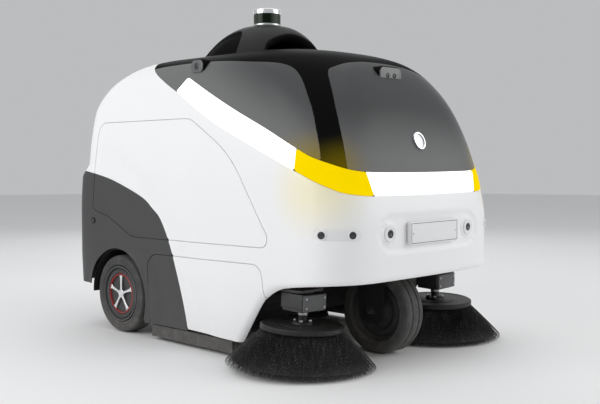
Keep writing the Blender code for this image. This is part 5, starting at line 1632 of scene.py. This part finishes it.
@dataclass
class NoseWheel:
    """Steered wheel: tyre with two tread grooves and ringed walls, rim, fork and axle nuts."""

    centre: tuple[float, float, float] = (0.0, -0.518, 0.1475)
    radius: float = 0.1475
    bead: float = 0.104
    width: float = 0.098
    nut_face: float = 0.0643
    nut_size: float = 0.0150
    nut_height: float = 0.0108
    washer: float = 0.0026
    stud: float = 0.0165

    def build(self) -> None:
        """Make the wheel and its nuts, and dress the fork."""
        tyre = tyre_profile(self.radius, self.bead, self.width, (0.0170,),
                            ((0.1150, 0.0022), (0.1242, 0.0016)))
        Look.RUBBER.dress(Soup().add(*turned(tyre, Axis.X, self.centre, 120)).piece("nose_tyre", "front_wheel",
                                                                                   ["front_tyre"]))
        half = [(0.0104, 0.0455, 0.0006), (0.030, 0.0455, 0.002), (0.036, 0.022, 0.004), (0.060, 0.014, 0.006),
                (0.070, 0.026, 0.003), (0.083, 0.026, 0.003), (0.088, 0.018, 0.003), (0.096, 0.030, 0.002),
                (self.bead - 0.0004, 0.034, 0.001)]
        profile = fillet(half + [(r, -along, soft) for r, along, soft in reversed(half)], 3)
        Look.IRON.dress(Soup().add(*turned(profile, Axis.X, self.centre, 96)).piece("nose_rim", "front_wheel",
                                                                                    ["front_rim"]))
        nuts = Soup()
        angle = np.radians(np.arange(6) * 60.0 + 12.0)
        hexagon = self.nut_size * np.stack([np.cos(angle), np.sin(angle)], 1)
        for sign in (-1, 1):
            low, high = sorted((sign * (self.nut_face + self.washer), sign * (self.nut_face + self.nut_height)))
            points, *blocks = slab(hexagon, low, high, 0.0012, Axis.X)
            nuts.add(points + self.centre, *blocks)
            low, high = sorted((sign * self.nut_face, sign * (self.nut_face + self.washer)))
            nuts.add(*turned(disc(0.0205, 0.0, low, high, 0.0006), Axis.X, self.centre, 40))
            low, high = sorted((sign * self.nut_face, sign * (self.nut_face + self.stud)))
            nuts.add(*turned(disc(0.0078, 0.0, low, high, 0.0012), Axis.X, self.centre, 32))
        spindle = disc(0.0098, 0.0, -self.nut_face - 0.001, self.nut_face + 0.001, 0.0004)
        nuts.add(*turned(spindle, Axis.X, self.centre, 32))
        Look.OILED.dress(nuts.piece("nose_axle", "steering_fork", ["front_axle"]))
        Look.SATIN_BLACK.dress_node("front_fork")
        Look.STEEL.dress_node("steering_bearing")


# ---------------------------------------------------------------- brushes
@dataclass
class SideBrushes:
    """Two tilted disc brushes with bristles in rows, each under a gearmotor on a lifting arm."""

    centre: tuple[float, float] = (0.368, -0.476)
    radius: float = 0.246
    disc_radius: float = 0.137
    disc_top: float = 0.143
    tilt: float = 2.5
    bristles: int = 1150
    rows: int = 3
    box_half: tuple[float, float] = (0.0555, 0.0485)
    box_z: tuple[float, float] = (0.187, 0.2455)
    can: tuple[float, float] = (0.0355, 0.2975)

    def basis(self, sign: int) -> tuple[Array, Array]:
        """The brush's own axes as rows, and the floor point under its middle."""
        lean = math.tan(math.radians(self.tilt)) / math.sqrt(2.0)
        axis = np.array([-sign * lean, -lean, 1.0])
        axis /= np.linalg.norm(axis)
        spin = Vector((0, 0, 1)).rotation_difference(Vector(axis)).to_matrix()
        height = 0.001 + self.radius * math.sin(math.radians(self.tilt))
        foot = np.array([sign * self.centre[0], self.centre[1], height])
        return np.array(spin).T, foot

    def bristle_soup(self, top: float, seed: int) -> Soup:
        """Filaments that run from under the disc out to the floor, each a thin bowed rod.

        A filament's radius goes from 0.122 at the disc to the brush's edge at the floor, with a bow of
        s (1 - s), where s is how far down it is.  Each is four rings of three corners.
        """
        draw = np.random.default_rng(seed)
        row = np.arange(self.bristles) % self.rows
        turn = math.tau * np.arange(self.bristles) / self.bristles + draw.normal(0.0, 0.002, self.bristles)
        start = 0.128 - 0.010 * row + draw.normal(0.0, 0.0006, self.bristles)
        end = self.radius - 0.0008 - 0.011 * row + draw.normal(0.0, 0.0012, self.bristles).clip(-0.004, 0.0006)
        swirl = draw.normal(0.0, 0.006, self.bristles)
        s = np.linspace(0.0, 1.0, 5)[None, :]
        high = top - 0.016 + (0.0012 - (top - 0.016)) * s + 0.0 * start[:, None]
        reach = start[:, None] + (end - start)[:, None] * s + 0.010 * s * (1 - s)
        angle = turn[:, None] + swirl[:, None] * s * s
        thick = (0.00085 - 0.00035 * s) * np.ones_like(reach)
        corner = np.radians([90.0, 210.0, 330.0])[None, None, :]
        across = thick[..., None] * np.cos(corner)
        outward = thick[..., None] * np.sin(corner)
        radial, tangent = np.stack([np.cos(angle), np.sin(angle)], -1), np.stack([-np.sin(angle), np.cos(angle)], -1)
        flat = (radial * reach[..., None])[:, :, None, :] + radial[:, :, None, :] * outward[..., None] \
            + tangent[:, :, None, :] * across[..., None]
        points = np.concatenate([flat, np.broadcast_to(high[:, :, None, None], flat.shape[:3] + (1,))], -1)
        sheet = grid_faces(5, 3, False, True)
        ends = np.array([[2, 1, 0], [12, 13, 14]])
        step = (np.arange(self.bristles) * 15)[:, None, None]
        sheets, caps = (sheet[None] + step).reshape(-1, 4), (ends[None] + step).reshape(-1, 3)
        return Soup().add(points.reshape(-1, 3), sheets, caps)

    def build(self) -> None:
        """Make both brushes and dress their arms and motors."""
        for side in Side:
            sign, word = side.value, side.word
            axes, foot = self.basis(sign)
            top = self.disc_top - foot[2]
            body = f"side_brush_{word}"
            core = fillet([(0.100, top - 0.019, 0), (0.122, top - 0.019, 0), (self.radius - 0.020, 0.010, 0.002),
                           (self.radius - 0.050, 0.010, 0.002)], 2)
            plate = fillet([(0.0, top - 0.018, 0), (self.disc_radius - 0.003, top - 0.018, 0.001),
                            (self.disc_radius, top - 0.015, 0.001), (self.disc_radius, top - 0.003, 0.0022),
                            (self.disc_radius - 0.005, top, 0.0015), (self.disc_radius - 0.012, top - 0.0005, 0.001),
                            (self.disc_radius - 0.014, top - 0.0022, 0.0008), (0.074, top - 0.0022, 0.001),
                            (0.071, top, 0.001), (0.036, top, 0.001), (0.034, top + 0.008, 0.002),
                            (0.015, top + 0.010, 0.001), (0.014, top + 0.026, 0.001), (0.0, top + 0.026, 0)], 3)
            bolts = Soup()
            angle = np.radians(np.arange(6) * 60.0)
            hexagon = np.stack([0.0062 * np.cos(angle), 0.0062 * np.sin(angle)], 1)
            for k in range(4):
                turn = math.tau * (k + 0.35) / 4
                place = np.array([0.025 * math.cos(turn), 0.025 * math.sin(turn)])
                bolts.add(*slab(hexagon + place, top + 0.007, top + 0.0145, 0.0008, Axis.Z))
            for name, soup, look, nodes in (
                    ("bristles", self.bristle_soup(top, 11 + sign), Look.BRISTLE, [f"side_brush_bristles_{word}"]),
                    ("core", Soup().add(*turned(core, Axis.Z, (0, 0, 0), 120)), Look.BRISTLE, ()),
                    ("plate", Soup().add(*turned(plate, Axis.Z, (0, 0, 0), 120)), Look.SATIN_BLACK,
                     [f"side_brush_disc_{word}"]),
                    ("bolts", bolts, Look.STEEL, ())):
                soup.points = [foot + points @ axes for points in soup.points]
                look.dress(soup.piece(f"{body}_{name}", body, nodes))
            self.gearmotor(side, axes, foot)
            Look.IRON.dress_node(f"side_brush_arm_{word}")

    def gearmotor(self, side: Side, axes: Array, foot: Array) -> None:
        """Gearbox with a lighter front plate and cap screws, the motor's can above, the shaft below."""
        word = side.word
        low, high = (z - foot[2] for z in self.box_z)
        half_x, half_y = self.box_half
        can_top = self.can[1] - foot[2]
        square = [(u * half_x, v * half_y, 0.004) for u, v in ((-1, -1), (1, -1), (1, 1), (-1, 1))]
        housing = Soup().add(*slab(fillet(square, 3), low + 0.010, high, 0.002, Axis.Z))
        housing.add(*slab(fillet([(u * 0.93, v * 0.93, soft) for u, v, soft in square], 3), low, low + 0.012, 0.002,
                          Axis.Z))
        can = fillet([(0.0, high - 0.004, 0), (self.can[0], high - 0.004, 0), (self.can[0], high + 0.010, 0.001),
                      (self.can[0] - 0.0015, high + 0.011, 0.0005), (self.can[0] - 0.0015, can_top - 0.008, 0.003),
                      (self.can[0] - 0.008, can_top, 0.003), (0.0, can_top, 0)], 3)
        shaft = disc(0.0165, 0.0, self.disc_top + 0.0268 - foot[2], low + 0.001, 0.0015)
        plate = fillet([(low + 0.004, -half_x + 0.004, 0.003), (high - 0.002, -half_x + 0.004, 0.003),
                        (high - 0.002, half_x - 0.004, 0.003), (low + 0.004, half_x - 0.004, 0.003)], 3)
        front = Soup().add(*slab(plate, -half_y - 0.0055, -half_y + 0.001, 0.0014, Axis.Y))
        screws = Soup()
        for x in (-half_x + 0.014, half_x - 0.014):
            for z in (low + 0.015, high - 0.013):
                screws.add(*turned(disc(0.0040, 0.0016, -half_y - 0.0085, -half_y - 0.004, 0.0008), Axis.Y,
                                   (x, 0.0, z), 20))
        for name, soup, look, nodes in (
                ("gearbox", housing, Look.IRON, [f"side_brush_motor_{word}"]),
                ("can", Soup().add(*turned(can, Axis.Z, (0, 0, 0), 64)), Look.SATIN_BLACK, ()),
                ("shaft", Soup().add(*turned(shaft, Axis.Z, (0, 0, 0), 40)), Look.STEEL, ()),
                ("front_plate", front, Look.BRACKET, ()), ("screws", screws, Look.STEEL, ())):
            soup.points = [foot + points @ axes for points in soup.points]
            look.dress(soup.piece(f"brush_{name}_{word}", f"brush_arm_{word}", nodes))


@dataclass
class Underframe:
    """Everything inside the body and under it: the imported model's own nodes, dressed.

    Attributes:
        opening: z span and half width of the hopper's opening in the tail.
        grip: z span, half width and corner of the slot in the hopper's back wall.
        back: y of the inner face of that wall.
        cup_depth: how far the finger cup reaches inwards from there.
        cup_wall: thickness of its wall.
    """

    opening: tuple[float, float, float] = (0.2012, 0.5638, 0.3038)
    grip: tuple[float, float, float, float] = (0.450, 0.510, 0.110, 0.02)
    back: float = 0.7278
    cup_depth: float = 0.038
    cup_wall: float = 0.004

    def hopper_trim(self) -> None:
        """Dark surround behind the hopper's seam, and a finger cup behind its grip."""
        low, high, half = self.opening
        inner = fillet([(low, -half, 0.010), (high, -half, 0.010), (high, half, 0.010), (low, half, 0.010)], 4)
        inner = left_turning(inner)
        Look.SATIN_BLACK.dress(band_between(moved_in(inner, -0.016), inner, self.back - 0.0278, self.back).piece(
            "hopper_surround", "machine"))
        low, high, half, corner = self.grip
        slot = fillet([(low, -half, corner), (high, -half, corner), (high, half, corner), (low, half, corner)], 6)
        slot = left_turning(slot)
        outside, inside = moved_in(slot, -self.cup_wall - 0.001), moved_in(slot, -0.001)
        cup = band_between(outside, inside, self.back - self.cup_depth, self.back)
        cup.add(*slab(outside, self.back - self.cup_depth - 0.003, self.back - self.cup_depth + 0.001, 0.001, Axis.Y))
        Look.SATIN_BLACK.dress(cup.piece("hopper_grip_cup", "hopper"))

    def build(self) -> None:
        """Give the inner nodes their finishes."""
        Look.IRON.dress_node("chassis_frame")
        Look.SATIN_BLACK.dress_node("dust_hopper", "vacuum_fan", "main_brush_housing")
        Look.RUBBER.dress_node("brush_skirt")
        Look.BRISTLE.dress_node("main_brush_roller")
        Look.BATTERY.dress_node("battery_pack")
        Look.STEEL.dress_node("control_box")
        self.hopper_trim()


# ---------------------------------------------------------------- studio
@dataclass(frozen=True)
class Studio:
    """Pale floor, soft lights and the camera."""

    eye: tuple[float, float, float] = (-2.431, -2.488, 0.679)
    heading: float = 45.684
    pitch: float = -2.811
    lens: float = 53.7

    def area(self, name: str, place: Sequence[float], target: Sequence[float], size: tuple[float, float],
             power: float) -> None:
        """Add a soft rectangular light that points at a target."""
        lamp = bpy.data.lights.new(name, "AREA")
        lamp.shape, lamp.size, lamp.size_y, lamp.energy = "RECTANGLE", size[0], size[1], power
        item = bpy.data.objects.new(name, lamp)
        item.location = place
        item.rotation_euler = (Vector(target) - Vector(place)).to_track_quat("-Z", "Y").to_euler()
        bpy.context.scene.collection.objects.link(item)

    def floor(self) -> None:
        """Add the floor: a disc whose rim is far outside the view."""
        angle = np.linspace(0, math.tau, 96, endpoint=False)
        points = np.concatenate([np.stack([14 * np.cos(angle), 14 * np.sin(angle), np.full(96, -0.0004)], 1)])
        mesh = bpy.data.meshes.new("studio_floor")
        mesh.from_pydata(points.tolist(), [], [list(range(96))])
        item = bpy.data.objects.new("studio_floor", mesh)
        bpy.context.scene.collection.objects.link(item)
        made = bpy.data.materials.new("studio_floor")
        made.use_nodes = True
        tree = Tree(made.node_tree)
        shader = made.node_tree.nodes["Principled BSDF"]
        tone = tree.noise(tree.place(), 0.8, 2.0)
        tree.feed(shader.inputs["Base Color"], tree.mix(tone, (0.80, 0.80, 0.80, 1.0), (0.84, 0.84, 0.84, 1.0)))
        shader.inputs["Roughness"].default_value = 0.75
        mesh.materials.append(made)

    def build(self) -> None:
        """Add the camera, the lights, the floor and the pale surroundings."""
        scene = bpy.context.scene
        lens = bpy.data.cameras.new("camera")
        lens.lens, lens.sensor_width, lens.sensor_fit = self.lens, 36.0, "HORIZONTAL"
        item = bpy.data.objects.new("camera", lens)
        item.location = self.eye
        item.rotation_euler = (math.radians(90.0 + self.pitch), 0.0, math.radians(-self.heading))
        scene.collection.objects.link(item)
        scene.camera = item
        world = bpy.data.worlds.new("studio_air")
        world.use_nodes = True
        world.node_tree.nodes["Background"].inputs["Color"].default_value = (0.93, 0.94, 0.96, 1.0)
        world.node_tree.nodes["Background"].inputs["Strength"].default_value = 0.54
        scene.world = world
        scene.view_settings.view_transform = "Standard"
        self.area("key_light", (-4.4, 1.2, 2.6), (0.0, 0.0, 0.5), (4.0, 3.0), 100.0)
        self.area("fill_light", (3.2, -4.2, 2.4), (0.0, -0.2, 0.5), (4.0, 3.0), 92.0)
        self.area("top_light", (0.2, 0.3, 4.0), (0.0, 0.0, 0.6), (4.0, 4.0), 42.0)
        self.area("back_light", (2.8, 3.2, 2.4), (0.0, 0.2, 0.6), (3.0, 2.4), 26.0)
        self.floor()


def main() -> None:
    """Build the sub-assemblies in order and report what was made."""
    logging.basicConfig(level=logging.INFO, format="%(name)s: %(message)s")
    for part in (Studio(), Bodywork(), Roof(), Fittings(), RearWheels(), NoseWheel(), SideBrushes(), Underframe()):
        before = set(bpy.data.objects)
        part.build()
        for item in sorted(set(bpy.data.objects) - before, key=lambda one: one.name):
            if item.type == "MESH":
                LOG.info("%s: %d faces", item.name, len(item.data.polygons))


if __name__ == "__main__":
    main()
